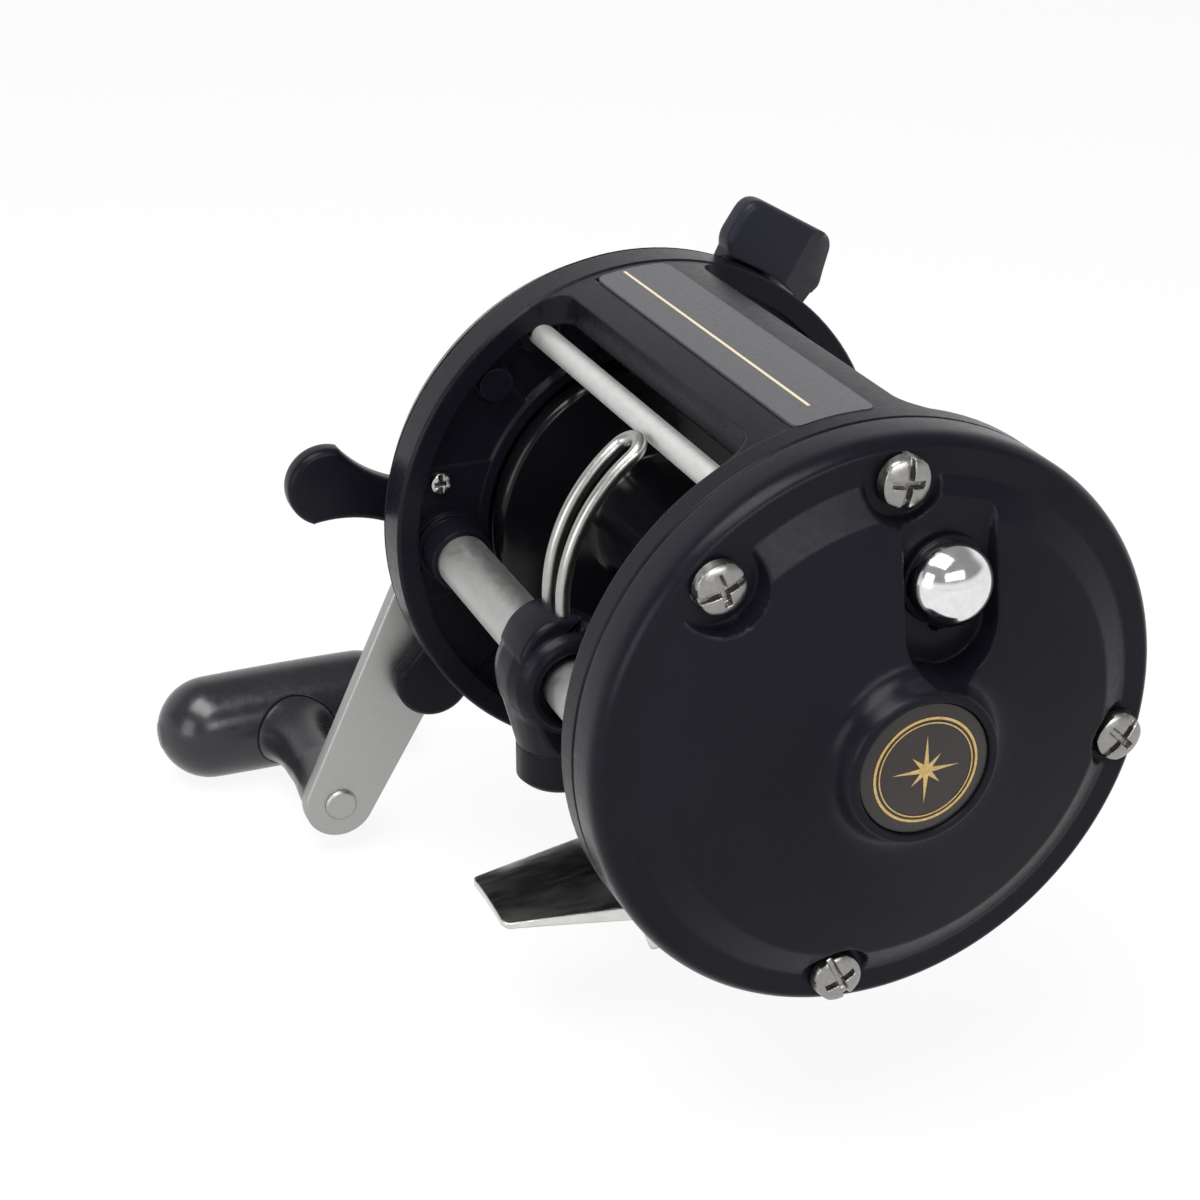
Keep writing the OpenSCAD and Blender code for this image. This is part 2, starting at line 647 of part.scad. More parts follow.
module guide_carriage() {
    x0 = guide_x - guide_len / 2;
    x1 = guide_x + guide_len / 2;
    y = tube_pos[0];
    z = tube_pos[1];
    color("#222227") lift() difference() {
        union() {
            turned([[0, x0], [6.1, x0], [7, x0 + 0.7], [7.7, x0 + 1.8], [8.3, x0 + 4], [8.3, x1 - 4],
                [7.7, x1 - 1.8], [7, x1 - 0.7], [6.1, x1], [0, x1]], tube_pos);
            // flank that narrows down to the pawl's cap
            intersection() {
                translate([guide_x, y, z - 10.2]) cylinder(h = 6, r1 = 5.9, r2 = 7.6);
                translate([x0 + 0.2, y - 20, z - 20]) cube([guide_len - 0.4, 40, 40]);
            }
            // shoulder that holds the wires
            slab(guide_x - wire_gap / 2 - 1.9, guide_x + wire_gap / 2 + 1.9) translate(tube_pos)
                polygon([[-1.9, 5], [0, 0], [7, 4.6], [5.4, 7.6], [2.8, 9.5], [-1.9, 9.5]]);
        }
        translate([x0 - 1, y - 20, z - 20]) cube([guide_len + 2, 13.6, 40]);
        disc(x0 - 1, x1 + 1, tube_r + run_gap, tube_pos);
        disc(x0 - 1, x0 + 1.4, 5.2, tube_pos);
        disc(x1 - 1.4, x1 + 1, 5.2, tube_pos);
        // well of the pawl
        translate([guide_x, y, z - 12]) cylinder(h = 11, r = 1.6);
        translate([guide_x, y, z - 12]) cylinder(h = 3.5, r = 2.6);
        for (s = [-1, 1])
            translate([guide_x + s * wire_gap / 2, y + wire_y, z + 7]) cylinder(h = 10, r = wire_r);
    }
}

// round wire along stations of [centre, side, up]
module wire_along(st, r, k) {
    n = len(st) - 1;
    pts = [for (q = st) for (j = [0:k - 1]) q[0] + r * (cos(360 * j / k) * q[1] + sin(360 * j / k) * q[2])];
    sides = [for (i = [0:n - 1]) for (j = [0:k - 1])
        [i * k + j, i * k + (j + 1) % k, (i + 1) * k + (j + 1) % k, (i + 1) * k + j]];
    ends = [[for (j = [k - 1:-1:0]) j], [for (j = [0:k - 1]) n * k + j]];
    polyhedron(points = pts, faces = concat(sides, ends));
}

// up one wire, round the hairpin behind the bar, and down the other
module guide_wires() {
    y = tube_pos[0] + wire_y;
    z0 = tube_pos[1] + 7;
    zc = 9.2 * plate_r / 40;
    r = 25 * plate_r / 40;
    top = 52.5;
    g = wire_gap / 2;
    t = [0, -sin(top), cos(top)];
    n = [0, cos(top), sin(top)];
    e = [guide_x, y - r + r * cos(top), zc + r * sin(top)];
    up = [for (i = [0:16]) let (a = top * i / 16)
        [[guide_x + g, y - r + r * cos(a), zc + r * sin(a)], [1, 0, 0], [0, cos(a), sin(a)]]];
    round = [for (i = [1:11]) let (a = 15 * i)
        [e + g * (cos(a) * [1, 0, 0] + sin(a) * t), cos(a) * [1, 0, 0] + sin(a) * t, n]];
    down = [for (i = [16:-1:0]) let (a = top * i / 16)
        [[guide_x - g, y - r + r * cos(a), zc + r * sin(a)], [-1, 0, 0], [0, cos(a), sin(a)]]];
    st = concat([[[guide_x + g, y, z0], [1, 0, 0], [0, 1, 0]]], up, round, down,
        [[[guide_x - g, y, z0], [-1, 0, 0], [0, 1, 0]]]);
    color("#d2d2d4") lift() wire_along(st, wire_r, 14);
}

module guide_pawl() {
    color("#c4c4c6") lift() translate([guide_x, tube_pos[0], tube_pos[1]]) difference() {
        union() {
            translate([0, 0, -10.2]) cylinder(h = 10.2 - worm_r - pass_gap, r = 1.55);
            translate([0, 0, -10.2]) cylinder(h = 1.7, r = 2.5);
        }
        // blade that runs in the worm's groove
        for (s = [-1, 1])
            translate([s * 1.5 - 0.8, -3, -worm_r - pass_gap - 1.4]) cube([1.6, 6, 3]);
    }
}

module pawl_cap() {
    color("#222227") lift() translate([guide_x, tube_pos[0], tube_pos[1]]) difference() {
        union() {
            translate([0, 0, -15.2]) cylinder(h = 5, r = 6);
            translate([0, 0, -16]) cylinder(h = 0.8, r1 = 5.2, r2 = 6);
        }
        translate([-4, -0.5, -16.5]) cube([8, 1, 1.2]);
    }
}

module drive_shaft() {
    color("#b9b9bb") lift() turned([[0, bridge_x - 0.1], [2.5, bridge_x - 0.1], [2.5, bridge_x + bridge_plate_t + 0.2],
        [4, bridge_x + bridge_plate_t + 0.2], [4, drive_boss_x + 0.2], [3.5, drive_boss_x + 0.2], [3.5, arm_x],
        [3, arm_x], [3, arm_x + arm_t + 3.8], [2.4, arm_x + arm_t + 4.4], [0, arm_x + arm_t + 4.4]], drive_pos);
}

module drive_gear() {
    color("#b8964f") lift() spur(drive_gear_x, drive_gear_x + gear_t, drive_teeth, drive_a + 180, drive_pos, 4);
}

module drag_washers() {
    x = drive_gear_x + gear_t + 0.05;
    color("#4a4038") lift() for (i = [0:2])
        difference() {
            disc(x + 0.65 * i, x + 0.65 * i + 0.6, i == 1 ? 10.4 : 11, drive_pos);
            disc(x - 1, x + 4, 4, drive_pos);
        }
}

module drive_ratchet() {
    color("#a9a9a6") lift() ratchet(drive_gear_x - 1.6, drive_gear_x - 0.3, ratchet_r, 1.6, 14, drive_pos, 4);
}

module handle_arm() {
    u = polar(1, arm_angle);
    n = polar(1, arm_angle + 90);
    e = arm_end;
    d = drive_pos;
    color("#a8a8a5") lift() slab(arm_x, arm_x + arm_t) difference() {
        union() {
            translate(d) circle(r = 8.6);
            translate(e) circle(r = arm_end_r);
            polygon([d + n * 8.57 + u * 0.4, d - n * 8.57 + u * 0.4, e - n * (arm_end_r - 0.03) + u * 0.3,
                e + n * (arm_end_r - 0.03) + u * 0.3]);
        }
        translate(d) circle(r = 3);
        translate(e) circle(r = 2);
        translate(d + u * 13.5) circle(r = 1.25);
    }
}

module handle_nut() {
    x = arm_x + arm_t;
    color("#bcbcbe") lift() difference() {
        slab(x, x + 3.4) translate(drive_pos) circle(r = 6.3, $fn = 6);
        disc(x - 1, x + 5, 3, drive_pos);
    }
}

module nut_retainer() {
    x = arm_x + arm_t;
    u = polar(1, arm_angle);
    n = polar(1, arm_angle + 90);
    color("#a8a8a5") lift() slab(x, x + 1) difference() {
        union() {
            translate(drive_pos) circle(r = 8);
            translate(drive_pos + u * 13.5) circle(r = 3.2);
            polygon([drive_pos + n * 6, drive_pos - n * 6, drive_pos + u * 13.5 - n * 3.1, drive_pos + u * 13.5 + n * 3.1]);
        }
        translate(drive_pos) circle(r = 6.4, $fn = 6);
        translate(drive_pos + u * 13.5) circle(r = 1.25);
    }
}

module retainer_screw() {
    p = drive_pos + polar(13.5, arm_angle);
    color("#c9c9cb") lift() translate([arm_x + arm_t + 1, p[0], p[1]]) oval_screw(2.3, 1.4, 1.25, 3.6);
}

module grip_rivet() {
    color("#c2c2bf") lift() {
        turned([[0, arm_x - 0.7], [2.3, arm_x - 0.7], [2.65, arm_x - 0.35], [2.65, arm_x], [2, arm_x],
            [2, grip_x - 4], [0, grip_x - 4]], arm_end);
    }
}

module handle_grip() {
    x = arm_x + arm_t;
    y = arm_end[0];
    z = arm_end[1];
    c = grip_len / 2 - grip_r;
    color("#26262b") lift() difference() {
        union() {
            turned([[0, x + 0.4], [5, x + 0.4], [5.3, x + 1], [5.1, x + 5], [4.7, x + 10], [4.8, x + 15], [5.4, x + 19],
                [6.6, grip_x - 7.5], [7.4, grip_x - 4], [0, grip_x - 2]], [y, z]);
            translate([grip_x, y - c, z]) rotate([-90, 0, 0]) cylinder(h = 2 * c, r = grip_r);
            for (s = [-1, 1])
                translate([grip_x, y + s * c, z]) sphere(r = grip_r);
        }
        disc(x - 1, grip_x - 3.7, 2 + run_gap, arm_end);
    }
}

module star_drag() {
    r = star_end_r;
    m = (star_r + 8) / 2;
    color("#232328") lift() difference() {
        union() {
            disc(star_x, star_x + star_t + 0.3, 8.4, drive_pos);
            for (i = [0:star_arms - 1])
                translate([0, drive_pos[0], drive_pos[1]]) rotate([star_angle + i * 360 / star_arms, 0, 0])
                    slab(star_x + 0.3, star_x + star_t - 0.2) union() {
                        translate([star_r, 0]) circle(r = r);
                        difference() {
                            translate([0, -r]) square([star_r, 2 * r]);
                            for (s = [-1, 1])
                                translate([m, s * (20 + r * 0.55)]) circle(r = 20);
                        }
                    }
        }
        disc(star_x - 1, star_x + star_t + 2, 3.5 + run_gap, drive_pos);
    }
}

// point beside the thumb pad's centre: u away from the spool axis, v round it
function pad_neck(u, v) = polar(u, pad_a) + polar(v, pad_a + 90);

module clutch_lever() {
    c = polar(pad_r, pad_a);
    x0 = right_x - 0.4;
    x1 = x0 + pad_t;
    x2 = lever_x + 2.4;
    color("#2b2b30") lift() {
        disc(cavity_x - 4.3, x2, 3, lever_pos);
        slab(lever_x, x2) union() {
            translate(lever_pos) circle(r = 5.2);
            polygon([lever_pos + [-4.6, -2.4], lever_pos + [4.6, 2.4], c + pad_neck(-1.5, 0.5),
                c + pad_neck(-1.5, 5.6)]);
        }
        // neck between the lever and its pad
        slab(x1 - 0.5, x2) translate(c) rotate(pad_a) translate([-4.2, 0.5]) square([2.7, 5.1]);
        // thumb pad over the rim, slanted at its rear end
        intersection() {
            slab(x0, x1) translate(c) rotate(pad_a)
                polygon([[-5, -5.2], [-2.8, -7], [3, -6.6], [4.6, -5], [4.9, 9.2], [3.6, 11], [-2.6, 13.6],
                    [-4.4, 13.2], [-6, 11], [-5.4, 8], [-5, 4], [-4.75, 0]]);
            translate([0, c[0], c[1]]) rotate([pad_a, 0, 0]) translate([0, 6, 0]) rotate([90, 0, 0])
                linear_extrude(height = 12)
                    polygon([[x0, -5.6], [x0, 5.6], [x0 + 4, 14], [x1, 14], [x1, -8], [x0 + 1, -8]]);
        }
    }
}

module clutch_jack() {
    x = cavity_x - 4.3;
    rest = -35.5;
    color("#b0b0ae") lift() translate([0, lever_pos[0], lever_pos[1]]) {
        slab(x, x + 1.2) difference() {
            union() {
                circle(r = 4.8);
                rotate(rest) translate([0, -3.4]) square([jack_r + 1.8, 6.8]);
            }
            circle(r = 3);
        }
        // ramp that passes under the yoke's tail
        rotate([rest, 0, 0]) translate([x + 1.1, jack_r - 1.8, 0]) rotate([0, -90, -90])
            linear_extrude(height = 3.6) polygon([[3.4, 0], [3.4, 0.1], [-3.4, clutch_travel - 0.1], [-3.4, 0]]);
    }
}

module clutch_yoke() {
    color("#b0b0ae") lift() slab(yoke_x, yoke_x + yoke_t) rotate(drive_a) difference() {
        union() {
            translate([-5.6, -14]) square([11.2, 28]);
            translate([-14, 9]) square([14, 5]);
        }
        circle(r = 3.95);
        translate([-20, -3.95]) square([20, 7.9]);
        for (s = [-1, 1])
            translate([0, s * post_d]) circle(r = post_r + run_gap);
    }
}

module pinion() {
    x = pinion_x;
    color("#b8964f") lift() difference() {
        union() {
            disc(x, x + 1.7, 4.6);
            spur(x + 1.6, yoke_x - 0.2, pinion_teeth, drive_a + 180 / pinion_teeth, [0, 0], 1);
            disc(yoke_x - 0.3, yoke_x + yoke_t + 0.3, 3.4);
            disc(yoke_x + yoke_t + 0.2, yoke_x + yoke_t + 1, 4.8);
        }
        disc(x - 1, x + 20, 2 + run_gap);
        // slot that takes the spool's driving dog
        translate([x - 1, -6, -1.5 - run_gap]) cube([2.3, 12, 3 + 2 * run_gap]);
    }
}

module click_button() {
    x = -left_x;
    color("#d4d4d6") lift() {
        turned([[0, x - click_floor - 0.3], [5.9, x - click_floor - 0.3], [5.9, x - click_floor - 1.2],
            [5.6, x - click_floor - 2.4], [5, x - click_floor - 3.6], [4.1, x - click_floor - 4.6],
            [2.9, x - click_floor - 5.3], [1.5, x - click_floor - 5.7], [0, x - click_floor - 5.8]], click_pos);
        disc(x - click_floor - 0.4, x - 0.3, click_slot - 0.4, click_pos);
    }
}

module click_tongue() {
    x = -left_x;
    color("#b0b0ae") lift() slab(x - 1.5, x - 0.3) difference() {
        translate([click_pos[0] - 2.6, click_pos[1] - 6.6]) square([5.2, 9]);
        translate(click_pos) circle(r = click_slot - 0.4);
    }
}

module anti_reverse_dog() {
    x = drive_gear_x - 1.6;
    color("#b0b0ae") lift() slab(x, x + 1.3) difference() {
        union() {
            translate(dog_pos) circle(r = 2.7);
            polygon([dog_pos + [-2.5, 1], dog_pos + [2.5, -1], dog_tip + [1.4, -0.2], dog_tip]);
        }
        translate(dog_pos) circle(r = 1.2 + run_gap);
    }
}

frame();
left_side_plate();
right_side_plate();
label_plate();
medallion();
left_plate_screws();
right_plate_screws();
reel_foot();
foot_screws();
crossbar();
level_wind_tube();
tube_screw();
worm_bushes();
bridge_plate();
bridge_screws();
left_spool_bearing();
right_spool_bush();
drive_bush();
idler_pin();
yoke_posts();
yoke_springs();
dog_pin();
spool();
spool_shaft();
take_off_gear();
click_ratchet();
idler_gear();
worm_shaft();
worm_gear();
guide_carriage();
guide_wires();
guide_pawl();
pawl_cap();
drive_shaft();
drive_gear();
drag_washers();
drive_ratchet();
handle_arm();
handle_nut();
nut_retainer();
retainer_screw();
grip_rivet();
handle_grip();
star_drag();
clutch_lever();
clutch_jack();
clutch_yoke();
pinion();
click_button();
click_tongue();
anti_reverse_dog();
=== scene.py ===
import json
import math

import bmesh
import bpy
import numpy as np
from mathutils import Matrix, Vector


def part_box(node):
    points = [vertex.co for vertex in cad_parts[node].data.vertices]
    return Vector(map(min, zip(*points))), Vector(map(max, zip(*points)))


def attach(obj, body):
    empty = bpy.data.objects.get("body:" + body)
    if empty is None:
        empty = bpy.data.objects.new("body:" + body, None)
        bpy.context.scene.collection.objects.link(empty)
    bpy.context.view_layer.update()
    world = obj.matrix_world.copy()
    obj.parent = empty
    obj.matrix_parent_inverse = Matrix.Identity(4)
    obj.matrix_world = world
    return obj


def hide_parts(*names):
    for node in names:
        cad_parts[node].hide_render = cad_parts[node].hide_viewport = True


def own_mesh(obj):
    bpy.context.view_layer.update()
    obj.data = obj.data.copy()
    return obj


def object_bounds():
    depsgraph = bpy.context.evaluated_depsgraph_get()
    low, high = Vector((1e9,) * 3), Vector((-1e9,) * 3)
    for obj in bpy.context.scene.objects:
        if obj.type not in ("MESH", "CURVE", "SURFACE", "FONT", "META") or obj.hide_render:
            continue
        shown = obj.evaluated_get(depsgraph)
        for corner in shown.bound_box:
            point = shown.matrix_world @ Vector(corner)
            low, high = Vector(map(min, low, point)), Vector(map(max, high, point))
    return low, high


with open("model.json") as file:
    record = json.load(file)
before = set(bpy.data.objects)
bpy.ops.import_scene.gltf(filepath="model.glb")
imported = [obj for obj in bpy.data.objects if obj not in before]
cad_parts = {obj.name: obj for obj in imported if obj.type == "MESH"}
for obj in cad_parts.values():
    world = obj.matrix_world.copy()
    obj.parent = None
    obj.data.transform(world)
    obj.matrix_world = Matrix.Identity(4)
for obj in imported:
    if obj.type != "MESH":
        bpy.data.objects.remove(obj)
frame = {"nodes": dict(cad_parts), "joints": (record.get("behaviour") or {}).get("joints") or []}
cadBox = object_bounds()
nodes = frame["nodes"]
jointAt = {j["name"]: j["pos_m"] for j in frame["joints"] if "pos_m" in j}
spoolZ = jointAt["spool_spin"][2] * 1000  # height of the spool axis above the frame's origin, mm
print("frame loaded,", len(nodes), "nodes")


# mesh tools

sealSpec = {"merge": 2e-6, "sliver": 1e-7}  # m


# merges seams and poles of a grid, drops slivers, turns the faces outwards
def sealMesh(mesh, flat):
    bm = bmesh.new()
    bm.from_mesh(mesh)
    bmesh.ops.remove_doubles(bm, verts=bm.verts, dist=sealSpec["merge"])
    bmesh.ops.dissolve_degenerate(bm, edges=bm.edges, dist=sealSpec["sliver"])
    bmesh.ops.recalc_face_normals(bm, faces=bm.faces)
    for face in bm.faces:
        face.smooth = not flat
    bm.to_mesh(mesh)
    bm.free()
    mesh.update()


# index quads of a rows x cols grid, closed across the columns where asked
def gridFaces(rows, cols, closeCols, start):
    r = np.arange(rows - 1)
    c = np.arange(cols if closeCols else cols - 1)
    r, c = np.meshgrid(r, c, indexing="ij")
    r2, c2 = r + 1, (c + 1) % cols
    quads = np.stack([r * cols + c, r * cols + c2, r2 * cols + c2, r2 * cols + c], -1)
    return quads.reshape(-1, 4) + start


# joins several point grids (in mm, spool axis as origin) into one piece that rides on a body
def gridPiece(name, grids, body, material, replaces=(), flat=False, crease=None):
    points, faces, count = [], [], 0
    for g in grids:
        p = np.asarray(g["points"], float)
        rows, cols = p.shape[:2]
        faces += gridFaces(rows, cols, g.get("closeCols", True), count).tolist()
        if g.get("capStart"):
            faces.append((np.arange(cols) + count).tolist())
        if g.get("capEnd"):
            faces.append((np.arange(cols) + count + (rows - 1) * cols).tolist())
        points.append(p.reshape(-1, 3))
        count += rows * cols
    points = (np.concatenate(points) + [0, 0, spoolZ]) / 1000
    mesh = bpy.data.meshes.new(name)
    mesh.from_pydata(points.tolist(), [], faces)
    sealMesh(mesh, flat)
    piece = bpy.data.objects.new(name, mesh)
    bpy.context.scene.collection.objects.link(piece)
    if crease:
        mesh.set_sharp_from_angle(angle=math.radians(crease))
    mesh.materials.append(material)
    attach(piece, body)
    if replaces:
        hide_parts(*replaces)
    print("made", name)
    return piece


# grid of closed rows with a face over each end
def cappedGrid(points):
    return {"points": points, "capStart": True, "capEnd": True}


# cuts each inner corner of a polyline, by less than half of a side, and puts a parabola of a few points there
def roundCorners(points, cut, steps=5, most=0.48):
    p = np.asarray(points, float)
    cut = np.broadcast_to(cut, len(p))[1:-1]
    a, b, c = p[:-2], p[1:-1], p[2:]
    la = np.linalg.norm(a - b, axis=1)
    lc = np.linalg.norm(c - b, axis=1)
    ka = np.minimum(cut, la * most)[:, None] / la[:, None]
    kc = np.minimum(cut, lc * most)[:, None] / lc[:, None]
    s, e = b + (a - b) * ka, b + (c - b) * kc
    t = np.linspace(0, 1, steps)[None, :, None]
    arcs = (1 - t) ** 2 * s[:, None] + 2 * t * (1 - t) * b[:, None] + t ** 2 * e[:, None]
    return np.concatenate([p[:1], arcs.reshape(-1, 2), p[-1:]])


# surface of revolution about an X axis through (y, z): profile rows of (radius, x) times a full turn
def turnedGrid(profile, at=(0, 0), turn=96):
    p = np.asarray(profile, float)
    a = np.linspace(0, 2 * np.pi, turn, endpoint=False)
    r, x = p[:, 0][:, None], p[:, 1][:, None]
    points = np.stack([x + 0 * a, at[0] + r * np.cos(a), at[1] + r * np.sin(a)], -1)
    return {"points": points}


# circle of a radius carried along a path, on two unit vectors given at each station, with both ends capped
def tubeGrid(path, side, over, radius, sides):
    a = np.linspace(0, 2 * np.pi, sides, endpoint=False)
    c, s = np.cos(a)[None, :, None], np.sin(a)[None, :, None]
    return cappedGrid(path[:, None] + radius * (c * side[:, None] + s * over[:, None]))


# closed outline in (y, z) drawn in to each depth of a list of (inset, x) rows, with both ends capped
def slabGrid(outline, rows):
    p = np.asarray(outline, float)
    d = np.roll(p, -1, 0) - np.roll(p, 1, 0)
    n = np.stack([d[:, 1], -d[:, 0]], -1)
    n /= np.linalg.norm(n, axis=1)[:, None]
    rows = np.asarray(rows, float)
    yz = p[None] - n[None] * rows[:, 0][:, None, None]
    x = np.broadcast_to(rows[:, 1][:, None, None], yz.shape[:2] + (1,))
    return cappedGrid(np.concatenate([x, yz], -1))


# rows of (inset, x) that round both edges of a slab by a quarter circle
def roundedRows(x0, x1, edge, steps=6):
    t = np.linspace(0, np.pi / 2, steps)
    inset = edge * (1 - np.sin(t))
    out = edge * (1 - np.cos(t))
    first = np.stack([inset, x0 + out], -1)
    last = np.stack([inset[::-1], x1 - out[::-1]], -1)
    return np.concatenate([first, last])


# rounds every corner of a closed outline
def roundedLoop(points, cut, steps=7):
    p = np.asarray(points, float)
    cuts = np.pad(np.broadcast_to(cut, len(p)), 1)
    return roundCorners(np.concatenate([p[-1:], p, p[:1]]), cuts, steps)[1:-1]


# cubic that rises from 0 to 1 between two values
def smoothStep(low, high, v):
    t = np.clip((v - low) / (high - low), 0, 1)
    return t * t * (3 - 2 * t)


# places in (y, z), mm from the spool axis: a joint's, and the middle of a CAD node
def jointYz(name):
    return np.array(jointAt[name][1:]) * 1000 - [0, spoolZ]


def nodeYz(name):
    low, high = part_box(name)
    return (low.y + high.y) * 500, (low.z + high.z) * 500 - spoolZ


# unit vector at an angle in degrees
def turnBy(angle):
    a = math.radians(angle)
    return np.array([math.cos(a), math.sin(a)])


# materials

spreadFrom = (0.3, 0.7)  # the part of a noise's range that a spread stretches
tintFrom = (0.35, 0.65)  # and the part that a tint runs over
grainDepth = 0.00003  # height of a plastic's grain, m
lineDepth = 0.00002  # height of a metal's tool lines and of paint flakes, m


class NodeBench:
    # small helper that adds nodes to a material and joins them
    def __init__(self, name):
        self.material = bpy.data.materials.new(name)
        self.material.use_nodes = True
        self.tree = self.material.node_tree
        self.tree.nodes.clear()
        self.out = self.add("ShaderNodeOutputMaterial")
        self.shader = self.add("ShaderNodeBsdfPrincipled")
        self.join(self.shader, "BSDF", self.out, "Surface")
        self.coords = self.add("ShaderNodeTexCoord")

    def add(self, kind, **values):
        node = self.tree.nodes.new(kind)
        for key, value in values.items():
            setattr(node, key, value)
        return node

    def join(self, a, outName, b, inName):
        self.tree.links.new(a.outputs[outName], b.inputs[inName])

    # noise on Object coordinates, drawn out along an axis where its stretch is small
    def noise(self, scale, detail, roughness=0.5, stretch=(1, 1, 1)):
        mapping = self.add("ShaderNodeMapping")
        mapping.inputs["Scale"].default_value = stretch
        self.join(self.coords, "Object", mapping, "Vector")
        tex = self.add("ShaderNodeTexNoise")
        tex.inputs["Scale"].default_value = scale
        tex.inputs["Detail"].default_value = detail
        tex.inputs["Roughness"].default_value = roughness
        self.join(mapping, "Vector", tex, "Vector")
        return tex

    # maps the middle of a noise onto a range and puts it on a shader socket
    def spread(self, source, ends, socket):
        m = self.add("ShaderNodeMapRange")
        m.inputs["From Min"].default_value, m.inputs["From Max"].default_value = spreadFrom
        m.inputs["To Min"].default_value, m.inputs["To Max"].default_value = ends
        self.join(source, "Fac", m, "Value")
        self.join(m, "Result", self.shader, socket)

    # base colour that wanders between two colours
    def tint(self, source, dark, light):
        r = self.add("ShaderNodeValToRGB")
        for stop, place, colour in zip(r.color_ramp.elements, tintFrom, (dark, light)):
            stop.position = place
            stop.color = (*colour, 1)
        self.join(source, "Fac", r, "Fac")
        self.join(r, "Color", self.shader, "Base Color")

    # fine relief from a texture over edges softened by a small radius
    def relief(self, source, strength, distance, edge):
        b = self.add("ShaderNodeBump")
        b.inputs["Strength"].default_value = strength
        b.inputs["Distance"].default_value = distance
        self.join(source, "Fac", b, "Height")
        if edge:
            soft = self.add("ShaderNodeBevel", samples=6)
            soft.inputs["Radius"].default_value = edge
            self.join(soft, "Normal", b, "Normal")
        self.join(b, "Normal", self.shader, "Normal")


mouldedClouds = 55  # scales of the noises that all moulded finishes share
mouldedPatches = 900


# plastic, enamel or fibre: cloudy colour, patchy roughness and a fine grain
def makeMoulded(name, s):
    b = NodeBench(name)
    b.tint(b.noise(mouldedClouds, 4), s["dark"], s["light"])
    b.spread(b.noise(mouldedPatches, 3), s["rough"], "Roughness")
    b.shader.inputs["Specular IOR Level"].default_value = s.get("specular", 0.45)
    b.relief(b.noise(s["grain"], 2), s.get("bump", 0.05), grainDepth, s["edge"])
    return b.material


# lacquered black with a faint ripple
def makeGloss(name, s):
    b = NodeBench(name)
    b.tint(b.noise(s["clouds"], 3), s["dark"], s["light"])
    b.spread(b.noise(s["patches"], 4), s["rough"], "Roughness")
    b.shader.inputs["Specular IOR Level"].default_value = s["specular"]
    b.relief(b.noise(s["grain"], 2), s["bump"], grainDepth, s["edge"])
    return b.material


# metal whose colour, roughness and relief follow one noise of tool lines
def makeMetal(name, s):
    b = NodeBench(name)
    lines = b.noise(s["scale"], 4, 0.6, s.get("stretch", (1, 1, 1)))
    b.tint(lines, s["dark"], s["light"])
    b.shader.inputs["Metallic"].default_value = s.get("metallic", 1.0)
    b.spread(lines, s["rough"], "Roughness")
    b.relief(lines, s["bump"], lineDepth, s.get("edge", 0.0002))
    return b.material


# grey metallic paint with fine flakes
def makeLabel(name, s):
    b = NodeBench(name)
    flakes = b.noise(s["flakes"], 1)
    b.tint(flakes, s["dark"], s["light"])
    b.shader.inputs["Metallic"].default_value = s["metallic"]
    b.shader.inputs["Specular IOR Level"].default_value = s["specular"]
    b.spread(b.noise(s["patches"], 3), s["rough"], "Roughness")
    b.relief(flakes, s["bump"], lineDepth, s["edge"])
    return b.material


mouldedSpecs = {
    "moulded_black_composite": {"dark": (0.0048, 0.0046, 0.0076), "light": (0.0062, 0.006, 0.0096),
                                "rough": (0.24, 0.32), "grain": 5200, "edge": 0.0005, "specular": 0.1},
    "grip_black_satin": {"dark": (0.011, 0.011, 0.014), "light": (0.016, 0.016, 0.02),
                         "rough": (0.2, 0.3), "grain": 2600, "edge": 0.0003, "bump": 0.06},
    "lever_black": {"dark": (0.0125, 0.0125, 0.019), "light": (0.016, 0.016, 0.0235),
                    "rough": (0.3, 0.4), "grain": 4200, "edge": 0.0005, "specular": 0.12},
    "medallion_bronze_enamel": {"dark": (0.011, 0.0085, 0.0075), "light": (0.018, 0.0135, 0.0115),
                                "rough": (0.25, 0.35), "grain": 3000, "edge": 0.0002, "bump": 0.05},
    "gear_nylon_white": {"dark": (0.62, 0.59, 0.5), "light": (0.72, 0.69, 0.6),
                         "rough": (0.35, 0.5), "grain": 3000, "edge": 0.0001, "bump": 0.08},
    "drag_washer_fibre": {"dark": (0.04, 0.032, 0.025), "light": (0.09, 0.075, 0.06),
                          "rough": (0.6, 0.8), "grain": 1600, "edge": 0.0001, "bump": 0.3},
}
glossBlack = {"dark": (0.0032, 0.0032, 0.0042), "light": (0.005, 0.005, 0.0062), "rough": (0.13, 0.21),
              "clouds": 40, "patches": 700, "grain": 1400, "bump": 0.04, "edge": 0.00025, "specular": 0.2}
labelPaint = {"dark": (0.072, 0.072, 0.076), "light": (0.09, 0.09, 0.095), "rough": (0.42, 0.52),
              "flakes": 9000, "patches": 1200, "bump": 0.06, "edge": 0.0001, "metallic": 0.15,
              "specular": 0.3}
